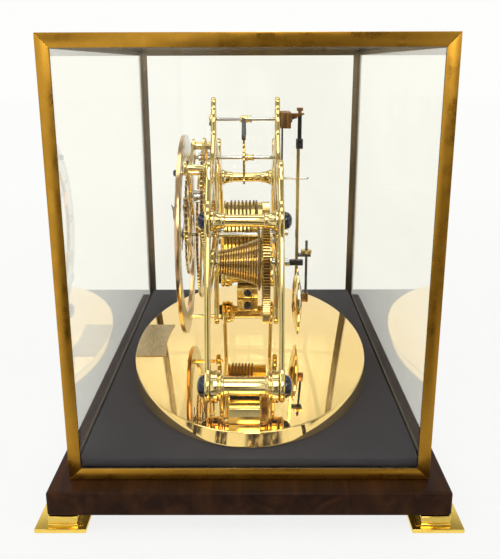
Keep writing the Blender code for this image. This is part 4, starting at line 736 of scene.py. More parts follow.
def plate_shapes():
    legs = [LOW_PILLAR, (0.5 * (LOW_PILLAR[0] + HIGH_PILLAR[0]) + LEG,
                         0.5 * (LOW_PILLAR[1] + HIGH_PILLAR[1])), HIGH_PILLAR, SIDE_SPIRE]
    arch = [HIGH_PILLAR, (0.5 * (HIGH_PILLAR[0] + FOOT_NEAR[0]), FOOT_NEAR[1] - 2 * BAND),
            FOOT_NEAR, (0.5 * FOOT_NEAR[0], ESCAPE[1] + BAND), (0.0, KNOT_H)]
    brace = [CENTRE, (0.5 * THIRD[0] + BAND, 0.5 * (CENTRE[1] + THIRD[1])), THIRD, FOOT_NEAR]
    share = (FUSEE[1] - LOW_PILLAR[1]) / (HIGH_PILLAR[1] - LOW_PILLAR[1])
    leg_x = LOW_PILLAR[0] + share * (HIGH_PILLAR[0] - LOW_PILLAR[0])
    bar = [CENTRE, FUSEE, (leg_x, FUSEE[1] - BAND)]
    shapes = mirrored([(smooth(line, 8), half - 0.0004)
                       for line, half in ((legs, LEG), (arch, BAND), (brace, BAND), (bar, BAND))])
    shapes += mirrored([([LOW_PILLAR], 0.0122), ([HIGH_PILLAR], 0.0122), ([SIDE_SPIRE], 0.0085)])
    shapes += [([FOOT_LOW, (0.0, SPIRE_H - BAND)], BAND - 0.0004), ([BARREL], 0.0120),
               ([CENTRE], 0.0120), ([FUSEE], 0.0120), ([ESCAPE], 0.0080), ([(0.0, KNOT_H)], 0.0136),
               ([FOOT_LOW], 0.0075), ([THIRD], 0.0070)]
    return shapes


def make_plates():
    loops = outlines(plate_shapes(), 0.0045)
    front = [(CENTRE, 0.0024), (FUSEE, 0.0023), (BARREL, 0.0033), (THIRD, 0.0014),
             (ESCAPE, 0.0019), (PALLET, 0.0014), (FOOT_LOW, 0.0022), (FOOT_FAR, 0.0022)]
    rear = [(CENTRE, 0.0014), (FUSEE, 0.00365), (BARREL, 0.0043), (ESCAPE, 0.0014),
            (PALLET, 0.0019)]
    for name, y_range, bores in (("front", FRONT_Y, front), ("rear", REAR_Y, rear)):
        rings = [circle(radius, 24, spot) for spot, radius in bores]
        dress(f"{name}_plate", "clock_frame",
              slab(polished_brass, loops[:1], loops[1:] + rings, y_range, ease=0.0016))
    face = FRONT_Y[0]
    parts = [screw(at((x, PALLET[1] - 0.0035), face), 0.0020, 0.0016) for x in (-0.0072, 0.0072)]
    parts.append(turned(turned_brass, mm(1.6, -34, 4.2, -34, 4.2, -35.2, 3, -35.8, 1.6, -35.8),
                        PALLET, 36, closed=True))
    for spot, bore, radius in ((CENTRE, 0.0026, 0.0052), (BARREL, 0.0036, 0.0062),
                               (FUSEE, 0.0026, 0.0050)):
        bush = [(bore, face), (radius, face), (radius, face - 0.0006), (bore, face - 0.0006)]
        parts.append(turned(turned_brass, bush, spot, 40, 0.0002, True))
    show("front_plate_fittings", "clock_frame", parts)
    show("cock_screws", "clock_frame", [
        screw(at((x, 0.2095), 0.0365), 0.0020, 0.0012, (0, 1, 0), x * 60)
        for x in (-0.0098, 0.0098)])


# Half of each pillar, from its end to its middle: radius and way along it.
LOW_PROFILE = mm(12.5, 0, 12.5, 5, 10.8, 5.4, 10.8, 6, 11.7, 6.3, 11.7, 7.7, 8.6, 8.1, 8.6, 9.4,
                 7.5, 9.8)
HIGH_PROFILE = mm(8.2, 0, 8.2, 1.6, 7.8, 2.1, 7, 3.2, 6.4, 4.8, 5.9, 6.6, 5.6, 7.8, 5.8, 8.2,
                  5.8, 10.2, 5.3, 10.6, 4.8, 10.7)


def make_pillars():
    front, rear = FRONT_Y[1] + GAP, REAR_Y[0] - GAP
    for kind, spot, half, wide in (("lower", LOW_PILLAR, LOW_PROFILE, 0.0090),
                                   ("upper", HIGH_PILLAR, HIGH_PROFILE, 0.0068)):
        profile = [(0.0, rear)] + [(r, rear - a) for r, a in half]
        profile += [(r, front + rear - y) for r, y in reversed(profile)]
        for side, sx in SIDES:
            own = (sx * spot[0], spot[1])
            dress(f"{kind}_pillar_{side}", "clock_frame",
                  turned(turned_brass, profile, own, 72, 0.00045))
            for (end, way), face in zip(ENDS, (FRONT_Y[0], REAR_Y[1])):
                base = face + way * GAP
                dome = [(0.0, base), (wide, base), (wide, base + way * 0.0013)]
                dome += [(0.96 * wide * math.cos(a), base + way * (0.0016 + 0.0044 * math.sin(a)))
                         for a in (RIGHT_ANGLE * k / 10 for k in range(10))]
                dome.append((0.0, base + way * 0.0060))
                dress(f"cap_{kind}_{end}_{side}", "clock_frame",
                      turned(blued, dome, own, 56, 0.0002))


# Power.

def spiral(spot, radius_at, pitch, depth, y_range, around, per, power=0.8):
    """A turned form with one groove cut round it as a screw, and darker brass in the groove as
    patina and painted shade."""
    rows = int(round((y_range[1] - y_range[0]) / pitch * per))
    bm = bmesh.new()
    grid = []
    for y in (y_range[0] + (y_range[1] - y_range[0]) * k / rows for k in range(rows + 1)):
        end = min(1.0, 2 * min(y - y_range[0], y_range[1] - y) / pitch)
        row = []
        for n in range(around):
            phase = (y - y_range[0]) / pitch - n / around
            cut = (0.5 + 0.5 * math.cos(math.tau * phase)) ** power
            radius = radius_at(y) - depth * cut * end
            row.append(bm.verts.new(at(polar(radius, math.tau * n / around, spot), y)))
        grid.append(row)
    skin(bm, grid)
    bm.faces.new(grid[0])
    bm.faces.new(grid[-1])
    made = finish(turned_brass, bm, 50.0)
    # cock_brass deep in the groove stands for patina and painted shade.
    made.data.materials.append(cock_brass)
    for face in made.data.polygons:
        away = face.center - at(spot)
        low = radius_at(face.center.y) - math.hypot(away.x, away.z) > 0.52 * depth
        face.material_index = int(low and abs(face.normal.y) < 0.97)
    return made


CONE_Y = (-0.0269, 0.0100)


def fusee_radius(y):
    share = (y - CONE_Y[0]) / (CONE_Y[1] - CONE_Y[0])
    return 0.0105 + 0.0120 * (0.72 * share + 0.28 * share ** 3)


def round_point(radius, angle, spot, y):
    return at(polar(radius, angle, spot), y)


def make_barrel():
    dress("barrel", "going_barrel", turned(wheel_brass, mm(
        31, 18, 31, -24, 32.6, -24.2, 32.6, -26, 29, -26, 28.5, -25.5, 7, -25.5, 6.6, -26,
        5.3, -26, 5.3, -24, 29, -24, 29, 18), BARREL, 96, 0.0003, True))
    dress("barrel_cover", "going_barrel", turned(wheel_brass, mm(
        28.7, 16, 28.7, 18, 24, 18, 23.6, 17.6, 9, 17.6, 8.6, 18, 5.3, 18, 5.3, 16),
        BARREL, 96, 0.0002, True))
    dress("barrel_arbor", "clock_frame", turned(steel, mm(
        0, 39, 3, 39, 3.2, 38.6, 3.2, 30.3, 4, 30.3, 4, 22.2, 5, 22.2, 5, -29.2, 3, -29.2,
        3, -34, 0, -34.3), BARREL, 40))

    turns, first_y, last_y = 7, -0.0225, 0.0040
    coil_r = 0.0310 + LINE_R + GAP
    count = turns * 48
    coil = [round_point(coil_r, math.radians(80.0) + math.tau * turns * (1 - k / count), BARREL,
                        first_y + (last_y - first_y) * k / count) for k in range(count + 1)]
    dress("line_on_barrel", "going_barrel", pipe(gut_fibre, coil, LINE_R, 10))
    start_y = last_y + 2 * LINE_R + 2 * GAP
    end_y = CONE_Y[1] - 2 * LINE_R
    wrap_r = fusee_radius(CONE_Y[1]) + LINE_R + GAP
    run = Vector(FUSEE) - Vector(BARREL)
    up = math.atan2(run.y, run.x) + RIGHT_ANGLE - math.asin((coil_r - wrap_r) / run.length)
    points = [round_point(coil_r, up + math.radians(30.0 - 3.0 * k), BARREL, start_y)
              for k in range(10)]
    first = round_point(coil_r, up, BARREL, start_y)
    last = round_point(wrap_r, up, FUSEE, end_y)
    points += [first.lerp(last, k / 12) for k in range(13)]
    points += [round_point(wrap_r, up - math.radians(4.5) * k, FUSEE, end_y)
               for k in range(1, 45)]
    dress("line_run", "clock_frame", pipe(gut_fibre, points, LINE_R, 10))


def make_fusee():
    pitch = (CONE_Y[1] - CONE_Y[0]) / 17
    dress("fusee", "fusee_and_great_wheel",
          spiral(FUSEE, fusee_radius, pitch, 0.31 * pitch + 0.0002, CONE_Y, 96, 10))
    parts = [wheel(FUSEE, 132, GREAT_MOD, (0.011, 0.017), GREAT_PHASE, 0.0043, 5, 0.0187)]
    for disc in (mm(4.3, 10.9, 20, 10.9, 20, 10.2, 4.3, 10.2),
                 mm(4.3, 19, 17, 19, 17, 17.1, 4.3, 17.1)):
        parts.append(turned(turned_brass, disc, FUSEE, 72, 0.0003, True))
    for k in range(3):
        spot = polar(0.0125, math.tau * k / 3 + 0.5, FUSEE)
        parts.append(screw(at(spot, 0.0190), 0.0018, 0.0009, (0, 1, 0), k))
    dress("great_wheel", "fusee_and_great_wheel", *parts)
    half = 0.0024
    square = block(dark_steel, (-half, 0.0338, -half), (half, 0.0460, half), 0.0004, 2)
    square.data.transform(move(*at(FUSEE)))
    shaft = turned(steel, mm(0, 34.5, 3.35, 34.5, 3.35, 22.2, 4, 22.2, 4, -29.2, 2, -29.2,
                             2, -34, 0, -34.2), FUSEE, 40)
    dress("fusee_arbor", "fusee_and_great_wheel", shaft, square)


def make_click():
    line = bearing(BARREL, CLICK)
    tooth = math.tau / 16
    teeth = [polar(radius, line + k * tooth) for k in range(16) for radius in (0.0140, 0.0120)]
    y_range = (0.0273, 0.0300)
    ratchet = slab(steel, [teeth], [circle(0.0043, 24)], y_range, BARREL, 0.0002)
    show("dress_ratchet", "clock_frame", [ratchet], "barrel_ratchet")
    notch = line - 2 * tooth
    root, reach = 0.01204, (Vector(CLICK) - Vector(BARREL)).length
    loop = [polar(r, notch + s * tooth) for r, s in (
        (root + 0.0006, 0.10), (0.0149, 0.75), (0.0155, 1.40), (reach - 0.0015, 2.0),
        (reach + 0.0015, 2.05), (reach - GAP, 1.20), (0.0155, 0.20))]
    click = slab(steel, [eased(loop, 0.0007, True)], [], y_range, BARREL, 0.0002)
    boss = turned(steel, mm(0, 30.6, 3, 30.6, 3, 27.1, 1.2, 27.1, 1.2, 22.6, 0, 22.6), CLICK, 32,
                  0.0002)
    head = screw(at(CLICK, 0.0305), 0.0022, 0.0009, (0, 1, 0), 0.8)
    show("dress_click", "click", [click, boss, head], "barrel_click")
    for name in ("mainspring", "suspension_spring"):
        coat(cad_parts[name], dark_steel)


# Going train.

def make_train():
    phase = meshed(FUSEE, CENTRE, GREAT_PHASE, 132, 12)
    dress("centre_arbor", "centre_and_minute_hand",
          turned(steel, mm(0, 27.2, 1.1, 27, 1.1, 22.2, 2.1, 22.2, 2.1, 18.8, 2.1, -43.7,
                           1.5, -43.7, 1.5, -65.2, 0, -65.5), CENTRE, 32, 0.0002),
          turned(turned_brass, mm(1.8, -43.7, 6, -43.7, 5.6, -41, 4, -40, 4, -36.2, 1.8, -35.8),
                 CENTRE, 40, 0.0004, True),
          leaves(CENTRE, 12, GREAT_MOD, (0.0095, 0.0185), phase))
    dress("centre_wheel", "centre_and_minute_hand",
          wheel(CENTRE, 84, FIRST_MOD, (-0.046, -0.044), FIRST_PHASE, 0.0018, 5, 0.0078, 0.3))

    phase = meshed(CENTRE, THIRD, FIRST_PHASE, 84, 7)
    dress("third_arbor", "third",
          turned(steel, mm(0, -29.6, 1.1, -29.8, 1.1, -34.3, 1.6, -34.3, 1.6, -39.3, 2.1, -39.3,
                           2.1, -48.7, 1.1, -48.7, 1.1, -51.2, 0, -51.5), THIRD, 28, 0.00015),
          turned(turned_brass, mm(1.8, -36.8, 5.2, -36.8, 4.8, -35.2, 1.8, -35), THIRD, 36,
                 0.0003, True),
          leaves(THIRD, 7, FIRST_MOD, (-0.048, -0.0420), phase))
    dress("third_wheel", "third",
          wheel(THIRD, 84, SECOND_MOD, (-0.039, -0.037), SECOND_PHASE, 0.0019, 5, 0.0078, 0.1))

    phase = meshed(THIRD, ESCAPE, SECOND_PHASE, 84, 7)
    dress("escape_arbor", "escape",
          turned(steel, mm(0, 27.1, 1.1, 26.9, 1.1, 22.2, 1.6, 22.2, 1.6, -48.7, 1.1, -48.7,
                           1.1, -51.2, 0, -51.5), ESCAPE, 28, 0.00015),
          leaves(ESCAPE, 7, SECOND_MOD, (-0.046, -0.0362), phase))
    tip, teeth = 0.0241, 30
    loop = [polar(tip * radius, (k + share) * (math.tau / teeth)) for k in range(teeth)
            for share, radius in ((0.0, 0.862), (0.10, 0.858), (0.34, 0.905), (0.50, 0.952),
                                  (0.62, 1.0), (0.70, 1.0), (0.745, 0.97), (0.86, 0.905))]
    holes = [circle(0.0019, 24)] + arm_openings(0.0040, 0.0188, 4, 0.0016, 0.4, 0.0008)
    dress("escape_wheel", "escape",
          slab(wheel_brass, [loop], holes, (-0.0059, -0.0041), ESCAPE, 0.00016),
          turned(turned_brass, mm(1.9, -4.2, 3.4, -4.2, 3.4, -2, 2.6, -1.4, 2.6, 2.8, 3, 3.4,
                                  3, 3.9, 1.9, 3.9), ESCAPE, 36, 0.0003, True))


def make_pallets():
    parts = [turned(steel, mm(
        0, 35.1, 1.1, 34.9, 1.1, 30.9, 1.6, 30.9, 1.6, 1.8, 3.2, 1.8, 3.2, 0.6, 2.6, 0, 2.6, -6,
        3.2, -6.6, 3.2, -7.4, 1.6, -7.4, 1.6, -29.2, 1.1, -29.2, 1.1, -33.8, 0, -34),
        PALLET, 32, 0.0002)]
    middle = Vector((0.0, ESCAPE[1] - PALLET[1]))
    out, pad, root = 0.0241 + 0.0016, 0.0026, 0.0019
    for side in (-1, 1):
        half = math.radians(45.0) * side
        way = Vector((math.sin(half), math.cos(half)))
        along = Vector((math.cos(half), -math.sin(half))) * side
        tip = middle + way * out
        elbow = middle + way * (out + 1.9 * pad) + along * 0.25 * pad
        loop = [tip - along * 0.5 * pad, tip + along * 0.5 * pad,
                elbow + along * 0.5 * pad + way * pad * 0.3, Vector((side * root, 1.1 * root)),
                Vector((-side * root * 0.6, -1.1 * root)), elbow - along * 0.9 * pad]
        parts.append(slab(dark_steel, [eased([tuple(p) for p in loop], 0.0007, True)], [],
                          (-0.0068, -0.0032), PALLET, 0.0002))
    parts.append(turned(turned_brass, mm(1.5, -8.6, 2.7, -8.6, 2.7, -7, 3.4, -6.6, 3.4, -1.8,
                                         2.7, -1.4, 2.7, 2.2, 1.5, 2.2), PALLET, 36, 0.0003, True))
    dress("pallets", "pallets_and_crutch", *parts)
    stem = [at((0.0, h), y) for h, y in mm(207.2, 29.3, 190, 29.3, 159, 29.3, 157.4, 29.6,
                                           157, 30.5)]
    dress("crutch", "pallets_and_crutch",
          turned(dark_steel, mm(1.9, 30.6, 3.4, 30.6, 3.4, 28, 1.9, 28), PALLET, 32, 0.0003, True),
          pipe(dark_steel, stem, 0.0008, 14),
          turned(steel, mm(0, 30, 1, 30, 1, 52.8, 0.7, 53.7, 0, 53.7), (0.0, 0.1570), 20, 0.0002))


def make_cock():
    z0, z1 = OVAL_TOP + 0.2025, OVAL_TOP + 0.2165
    a0, a1 = OVAL_TOP + 0.2090, OVAL_TOP + 0.2150
    nut_y = 0.0448
    parts = [block(cock_brass, (-0.0128, 0.0330, z0), (0.0128, 0.0365, z1), 0.0005)]
    for sx in (-1, 1):
        parts.append(block(cock_brass, (sx * 0.0098 - 0.0030, 0.0273, z0 + 0.0001),
                           (sx * 0.0098 + 0.0030, 0.0334, z1 - 0.0001)))
        parts.append(block(cock_brass, (sx * 0.0007, 0.0420, a0 + 0.0012),
                           (sx * 0.0036, 0.0486, a1), 0.0003))
    parts.append(block(cock_brass, (-0.0036, 0.0360, a0), (0.0036, 0.0424, a1)))
    for part in parts[1:]:
        for vert in part.data.vertices:
            if vert.co.y > 0.0359 and vert.co.z < a1 - 0.003:
                vert.co.z += 0.30 * (vert.co.y - 0.0362)
    parts.append(lathe(cock_brass, eased(mm(0, 0, 1.6, 0, 1.6, 2, 2.2, 2.4, 0, 2.4), 0.0002),
                       move(0, nut_y, a1 - 0.0001), 28))
    parts.append(upright(slab(cock_brass, [knurl(48, 0.0028, 0.00262)], [], (-0.0014, 0.0014),
                              ease=0.0002), (0, nut_y, a1 + 0.0034)))
    dress("suspension_cock", "clock_frame", *parts)


def make_pendulum():
    half = 0.0030
    outline = [(-half, 0.0240), (half, 0.0240), (half, 0.1925), (-half, 0.1925)]
    window = eased(mm(-1.4, 152, 1.4, 152, 1.4, 162, -1.4, 162), 0.0012, True)
    parts = [slab(polished_brass, [outline], [window], (0.0423, 0.0453), ease=0.0004)]
    for sx in (-1, 1):
        parts.append(block(dark_steel, (sx * 0.0005, 0.0418, OVAL_TOP + 0.1838),
                           (sx * 0.0034, 0.0478, OVAL_TOP + 0.1925)))
    nut_h = 0.0862
    parts.append(block(dark_steel, (-0.0040, 0.0448, OVAL_TOP + nut_h - 0.0022),
                       (0.0040, 0.0570, OVAL_TOP + nut_h), 0.0005))
    for h in (0.1862, 0.1902):
        for sx in (-1, 1):
            parts.append(screw((sx * 0.0034, 0.0448, OVAL_TOP + h), 0.0013, 0.0006, (sx, 0, 0),
                               h * 40))
    dress("pendulum_rod", "pendulum", *parts)

    y0, y1, radius = 0.0397, 0.0498, 0.0322
    middle, deep = (y0 + y1) / 2, (y1 - y0) / 2 - 0.0006
    profile = [(0.0, y1)]
    for share in (k / 16 for k in range(1, 17)):
        profile.append((radius * share, middle + 0.0006 + deep * (1 - share ** 2)))
    profile += [(r, 2 * middle - y) for r, y in reversed(profile)]
    show("dress_bob", "bob", [turned(turned_brass, profile, (0.0, 0.0398), 112, 0.0)],
         "pendulum_bob")

    screw_at = (0.0, 0.0530, OVAL_TOP)
    thread = spiral((0.0, 0.0), lambda y: 0.0013, 0.0008, 0.00016, (0.0470, 0.0985), 20, 6, 1.0)
    dress("rating_screw", "bob",
          block(cock_brass, (-0.0035, 0.0501, OVAL_TOP + 0.0395),
                (0.0035, 0.0551, OVAL_TOP + 0.0480), 0.0006),
          coat(upright(thread, screw_at), dark_steel),
          lathe(dark_steel, eased(mm(0, 98.2, 1, 98.2, 1, 98.8, 0, 99), 0.0002),
                move(*screw_at), 20))
    nut = slab(polished_brass, [knurl(72, 0.0050, 0.00472)], [circle(0.0017, 24)],
               (-0.0018, 0.0018), ease=0.0003)
    dress("rating_nut", "nut", upright(nut, (0, 0.0530, OVAL_TOP + nut_h + GAP + 0.0018)))


# Dial side.

def make_bridge():
    half = 0.0042
    arch = smooth([POST_MID, (0.5 * FOOT_NEAR[0], ESCAPE[1] + half / 2),
                   (FOOT_NEAR[0], FOOT_NEAR[1] + half / 2), POST_SIDE], 8)
    arm = smooth([FOOT_NEAR, THIRD, MINUTE], 8)
    shapes = [(arch, half - 0.0003), (arm, half - 0.0003), ([POST_MID, ESCAPE], half - 0.0003)]
    shapes += [([spot], 0.0058) for spot in (POST_MID, POST_SIDE, FOOT_NEAR, THIRD, ESCAPE, MINUTE)]
    loops = outlines(shapes, 0.003, 0.0003)
    holes = loops[1:] + [circle(0.0014, 24, THIRD), circle(0.0014, 24, ESCAPE),
                         circle(0.0022, 24, FOOT_NEAR)]
    parts = [slab(polished_brass, loops[:1], holes, BRIDGE_Y, ease=0.0005)]
    for spot, thin in ((POST_MID, 3.4), (POST_SIDE, 2.4)):
        parts.append(turned(turned_brass, mm(0, -34.3, 4, -34.3, 4, -35.2, thin, -35.8,
                                             thin, -48.2, 4, -48.8, 4, -49.5, 0, -49.5), spot, 40))
        parts.append(screw(at(spot, BRIDGE_Y[0]), 0.0028, 0.0013))
    parts.append(turned(steel, mm(0, -59, 1.2, -59, 1.6, -58.6, 1.6, -50, 0, -50), MINUTE, 28,
                        0.0002))
    dress("train_bridge", "clock_frame", *parts)


def make_motion_work():
    fast_y = (-0.0542, -0.0524)
    phase = meshed(MINUTE, CENTRE, FAST_PHASE, 36, 12)
    dress("cannon_pinion", "centre_and_minute_hand",
          leaves(CENTRE, 12, FAST_MOD, fast_y, phase, 0.0018, 24, 0.00016),
          turned(steel, mm(1.8, -52.7, 3, -52.7, 3, -64.5, 1.8, -64.5), CENTRE, 36, 0.0002, True))
    stud = 0.0019
    phase = meshed(CENTRE, MINUTE, SLOW_PHASE, 32, 8)
    dress("minute_wheel", "minute_work",
          wheel(MINUTE, 36, FAST_MOD, fast_y, FAST_PHASE, stud, 4, 0.0085, 0.5, 0.0034, 0.0036,
                0.0014, 24),
          leaves(MINUTE, 8, SLOW_MOD, (-0.0578, -0.0539), phase, stud))
    dress("hour_wheel", "hour_work",
          wheel(CENTRE, 32, SLOW_MOD, (-0.0576, -0.0558), SLOW_PHASE, 0.0033, 5, 0.0080, 0.2,
                0.0034, 0.0034, 0.0014),
          turned(turned_brass, mm(3.3, -56.1, 4.6, -56.1, 4.6, -62.6, 3.3, -62.6), CENTRE, 36,
                 0.0002, True))
    washer = turned(turned_brass, mm(1.6, -64.5, 4.4, -64.5, 4, -65.1, 1.6, -65.2), CENTRE, 36,
                    0.0002, True)
    show("hands_collet", "centre_and_minute_hand", [washer])


def make_hand(name, length, bore, y_range, degrees, body):
    eye_at = 0.74 * length
    shapes = [([(0.0, -0.0150), (0.0, eye_at - 0.004)], (0.0014, 0.0010)),
              ([(0.0, eye_at + 0.004), (0.0, length - 0.0006)], (0.0013, 0.0002)),
              ([(0.0, 0.0)], 0.0066), ([(0.0, eye_at)], 0.0060), ([(0.0, -0.0152)], 0.0033)]
    loops = outlines(shapes, 0.0018, 0.00022, 0.00001)
    holes = loops[1:] + [circle(0.0037, 40, (0.0, eye_at)), circle(bore, 40)]
    made = slab(blued, loops[:1], holes, y_range, ease=0.0002)
    made.data.transform(move(*at(CENTRE)) @ spin(math.radians(degrees), "Y")
                        @ move(0, 0, -OVAL_TOP))
    dress(name, body, made)


NUMERALS = ("XII", "I", "II", "III", "IIII", "V", "VI", "VII", "VIII", "IX", "X", "XI")


def bar_outline(left, right, low, top):
    return [(left, low), (right, low), (right, top), (left, top)]


def numeral_strokes(word, tall, thick, thin):
    """Strokes of a numeral as four-cornered outlines about its middle."""
    wide = {"I": 0.30 * tall, "V": 0.66 * tall, "X": 0.66 * tall}
    total = sum(wide[c] for c in word)
    x = -total / 2
    top, low = tall / 2, -tall / 2
    strokes = []

    def stroke(x0, x1, width):
        strokes.append([(x0 - width / 2, low), (x0 + width / 2, low), (x1 + width / 2, top),
                        (x1 - width / 2, top)])

    for letter in word:
        middle = x + wide[letter] / 2
        reach = 0.24 * tall
        if letter == "I":
            stroke(middle, middle, thick)
        elif letter == "V":
            stroke(middle, middle - reach, thick)
            stroke(middle, middle + reach, thin)
        else:
            stroke(middle + reach, middle - reach, thick)
            stroke(middle - reach, middle + reach, thin)
        x += wide[letter]
    for h in (top, low):
        strokes.append(bar_outline(-total / 2, total / 2, h - thin / 2, h + thin / 2))
    return strokes


def dial_marks(face):
    """Numerals and minutes as thin black shapes on the ring's face."""
    bm = bmesh.new()

    def mark(outline, angle, radius):
        turn = Matrix.Rotation(-angle, 2)
        rows = [[bm.verts.new(at(Vector(CENTRE) + turn @ Vector((x, radius + h)), y))
                 for x, h in outline] for y in (face + 0.00002, face - 0.00006)]
        bm.faces.new(rows[1])
        bm.faces.new(rows[0][::-1])
        skin(bm, rows)

    for hour, word in enumerate(NUMERALS):
        for outline in numeral_strokes(word, 0.0098, 0.0014, 0.0005):
            mark(outline, math.tau * hour / 12, 0.0790)
    for minute in range(60):
        angle = math.tau * minute / 60
        half = 0.00045 if minute % 5 == 0 else 0.000175
        mark(bar_outline(-half, half, 0.0, 0.0030), angle, 0.0862)
        for radius in (0.0860, 0.0890):
            half = radius * math.pi / 60
            mark(bar_outline(-half, half, 0.0, 0.00022), angle, radius)
    return finish(black_wax, bm)


def make_dial():
    make_hand("hour_hand", 0.0560, 0.0049, (-0.0624, -0.0616), 305.0, "hour_work")
    make_hand("minute_hand", 0.0830, 0.0033, (-0.0643, -0.0635), 60.0, "centre_and_minute_hand")
    front = -0.0606
    ring = turned(ring_brass, mm(91.5, -57, 91.5, -60.6, 72, -60.6, 72, -57), CENTRE, 160, 0.0004,
                  True)
    ring.data.materials.append(silvered)
    for face in ring.data.polygons:
        face.material_index = int(abs(face.normal.y) > 0.96)
    parts = [ring, dial_marks(front)]
    for spot, end in ((FOOT_LOW, -27.2), (FOOT_FAR, -27.2), (FOOT_NEAR, -41)):
        parts.append(turned(turned_brass, mm(0, end, 1.2, end, 1.9, end - 0.8, 1.9, -55.6,
                                             2.8, -56, 2.8, -57.2, 0, -57.2), spot, 32))
        parts.append(screw(at(spot, front), 0.0028, 0.0030))
    dress("chapter_ring", "clock_frame", *parts)


# Case.

def angle_bar(shape, start, way, across, up, length):
    """A bar of the case, mitred at both ends. The shape's corners are set off
    along the directions across and up from the case's own edge."""
    bm = bmesh.new()
    start, way, across, up = (Vector(v) for v in (start, way, across, up))
    ends = []
    for place, sign in ((0.0, 1), (length, -1)):
        ends.append([bm.verts.new(start + way * (place + sign * (max(u, v) + 0.00004))
                                  + across * u + up * v) for u, v in shape])
    near, far = ends
    bm.faces.new(near)
    bm.faces.new(far[::-1])
    for k in range(len(shape)):
        after = (k + 1) % len(shape)
        bm.faces.new((near[k], far[k], far[after], near[after]))
    bmesh.ops.recalc_face_normals(bm, faces=bm.faces)
    bmesh.ops.bevel(bm, geom=bm.edges, offset=0.00028, segments=2, profile=0.5, affect="EDGES")
    return finish(aged_brass, bm)


def make_case():
    hx, hy, z0, z1 = 0.2105, 0.127, 0.0303, 0.330
    t, w = 0.0016, 0.0087
    corner = [(0, 0), (w, 0), (w, t), (t, t), (t, w), (0, w)]
    strip = [(0, 0), (t, 0), (t, w), (0, w)]
    parts = []
    for sy in (-1, 1):
        for shape, z, up in ((corner, z1, -1), (strip, z0, 1)):
            parts.append(angle_bar(shape, (-hx, sy * hy, z), (1, 0, 0), (0, -sy, 0), (0, 0, up),
                                   2 * hx))
    for sx in (-1, 1):
        for shape, z, up in ((corner, z1, -1), (strip, z0, 1)):
            parts.append(angle_bar(shape, (sx * hx, -hy, z), (0, 1, 0), (-sx, 0, 0), (0, 0, up),
                                   2 * hy))
        for sy in (-1, 1):
            parts.append(angle_bar(corner, (sx * hx, sy * hy, z0), (0, 0, 1), (-sx, 0, 0),
                                   (0, -sy, 0), z1 - z0))
    middle = Vector((0.0, 0.0, (z0 + z1) / 2))
    for part in parts:
        part.data.materials.append(shaded_brass)
        for face in part.data.polygons:
            face.material_index = int(face.normal.dot(face.center - middle) < 0.0)
    dress("case_frame", "glazed_case", *parts)
    for side in ("front", "rear", "left", "right", "top"):
        coat(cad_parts[f"glass_{side}"], window_glass)


# Surroundings.

def make_camera():
    yaw, pitch, roll = (math.radians(a) for a in (0.252, 16.375, -0.153))
    look = Vector((-math.cos(pitch) * math.cos(yaw), -math.cos(pitch) * math.sin(yaw),
                   -math.sin(pitch)))
    right = look.cross(Vector((0, 0, 1))).normalized()
    up = right.cross(look)
    across = right * math.cos(roll) + up * math.sin(roll)
    rise = up * math.cos(roll) - right * math.sin(roll)
    lens = bpy.data.cameras.new("camera")
    lens.lens = 52.65
    lens.sensor_width = 36.0
    lens.sensor_fit = "HORIZONTAL"
    lens.clip_start = 0.01
    camera = add_object("camera", lens)
    camera.matrix_world = move(0.66609, 0.003, 0.31138) @ Matrix(
        (across, rise, -look)).transposed().to_4x4()
    bpy.context.scene.camera = camera


def lamp(name, place, size, power):
    light = bpy.data.lights.new(name, "AREA")
    light.shape = "RECTANGLE"
    light.size, light.size_y = size
    light.energy = power
    obj = add_object(name, light)
    obj.location = place
    aim = Vector((0.0, 0.0, 0.15)) - Vector(place)
    obj.rotation_euler = aim.to_track_quat("-Z", "Y").to_euler()


def seen_ray(tree):
    """1 for camera, glossy and transmission rays, 0 for the rest."""
    path = add(tree, "LightPath").outputs
    seen = calc(tree, "MAXIMUM", path["Is Camera Ray"], path["Is Glossy Ray"])
    return calc(tree, "MAXIMUM", seen, path["Is Transmission Ray"])


def make_world():
    world = bpy.data.worlds.new("studio")
    world.use_nodes = True
    bpy.context.scene.world = world
    tree = world.node_tree
    tree.nodes.clear()
    way = add(tree, "TexCoord").outputs["Generated"]
    height = add(tree, "SeparateXYZ", {"Vector": way}).outputs["Z"]
    sky = ramp(tree, height, (0.0, 0.99, 0.99, 0.98), (0.42, 0.99, 0.99, 0.98),
               (0.66, 0.42, 0.41, 0.39), (1.0, 0.28, 0.27, 0.25))
    soft = add(tree, "Background", {"Color": (1.0, 1.0, 1.0, 1.0), "Strength": 0.55}).outputs[0]
    pale = add(tree, "Background", {"Color": sky}).outputs[0]
    add(tree, "OutputWorld", {"Surface": mix(tree, seen_ray(tree), soft, pale)})


def make_floor():
    paint, tree, shader = new_material("pale_floor")
    feed(tree, shader, {"Roughness": 0.7, "Base Color": ramp(
        tree, noise(tree, 6.0, 3.0), (0.3, 0.83, 0.83, 0.82), (0.7, 0.86, 0.86, 0.85))})
    own = add(tree, "TexCoord").outputs["Object"]
    away = add(tree, "VectorMath", {0: own}, operation="LENGTH").outputs["Value"]
    share = calc(tree, "MULTIPLY", spread(tree, away, 0.86, 1.0, (0.35, 1.30)), seen_ray(tree))
    glow = add(tree, "Emission", {"Color": (0.98, 0.98, 0.97, 1.0)}).outputs[0]
    surface(tree, mix(tree, share, shader.outputs[0], glow))
    bm = bmesh.new()
    bmesh.ops.create_circle(bm, cap_ends=True, radius=7.0, segments=96)
    finish(paint, bm, name="floor")


def across_card(tree, axis):
    """1 in a card's middle and 0 at its edges, along one of its sides."""
    own = add(tree, "TexCoord").outputs["Object"]
    along = add(tree, "SeparateXYZ", {"Vector": own}).outputs[axis]
    return spread(tree, calc(tree, "ABSOLUTE", along), 1.0, 0.0, (0.34, 0.50))


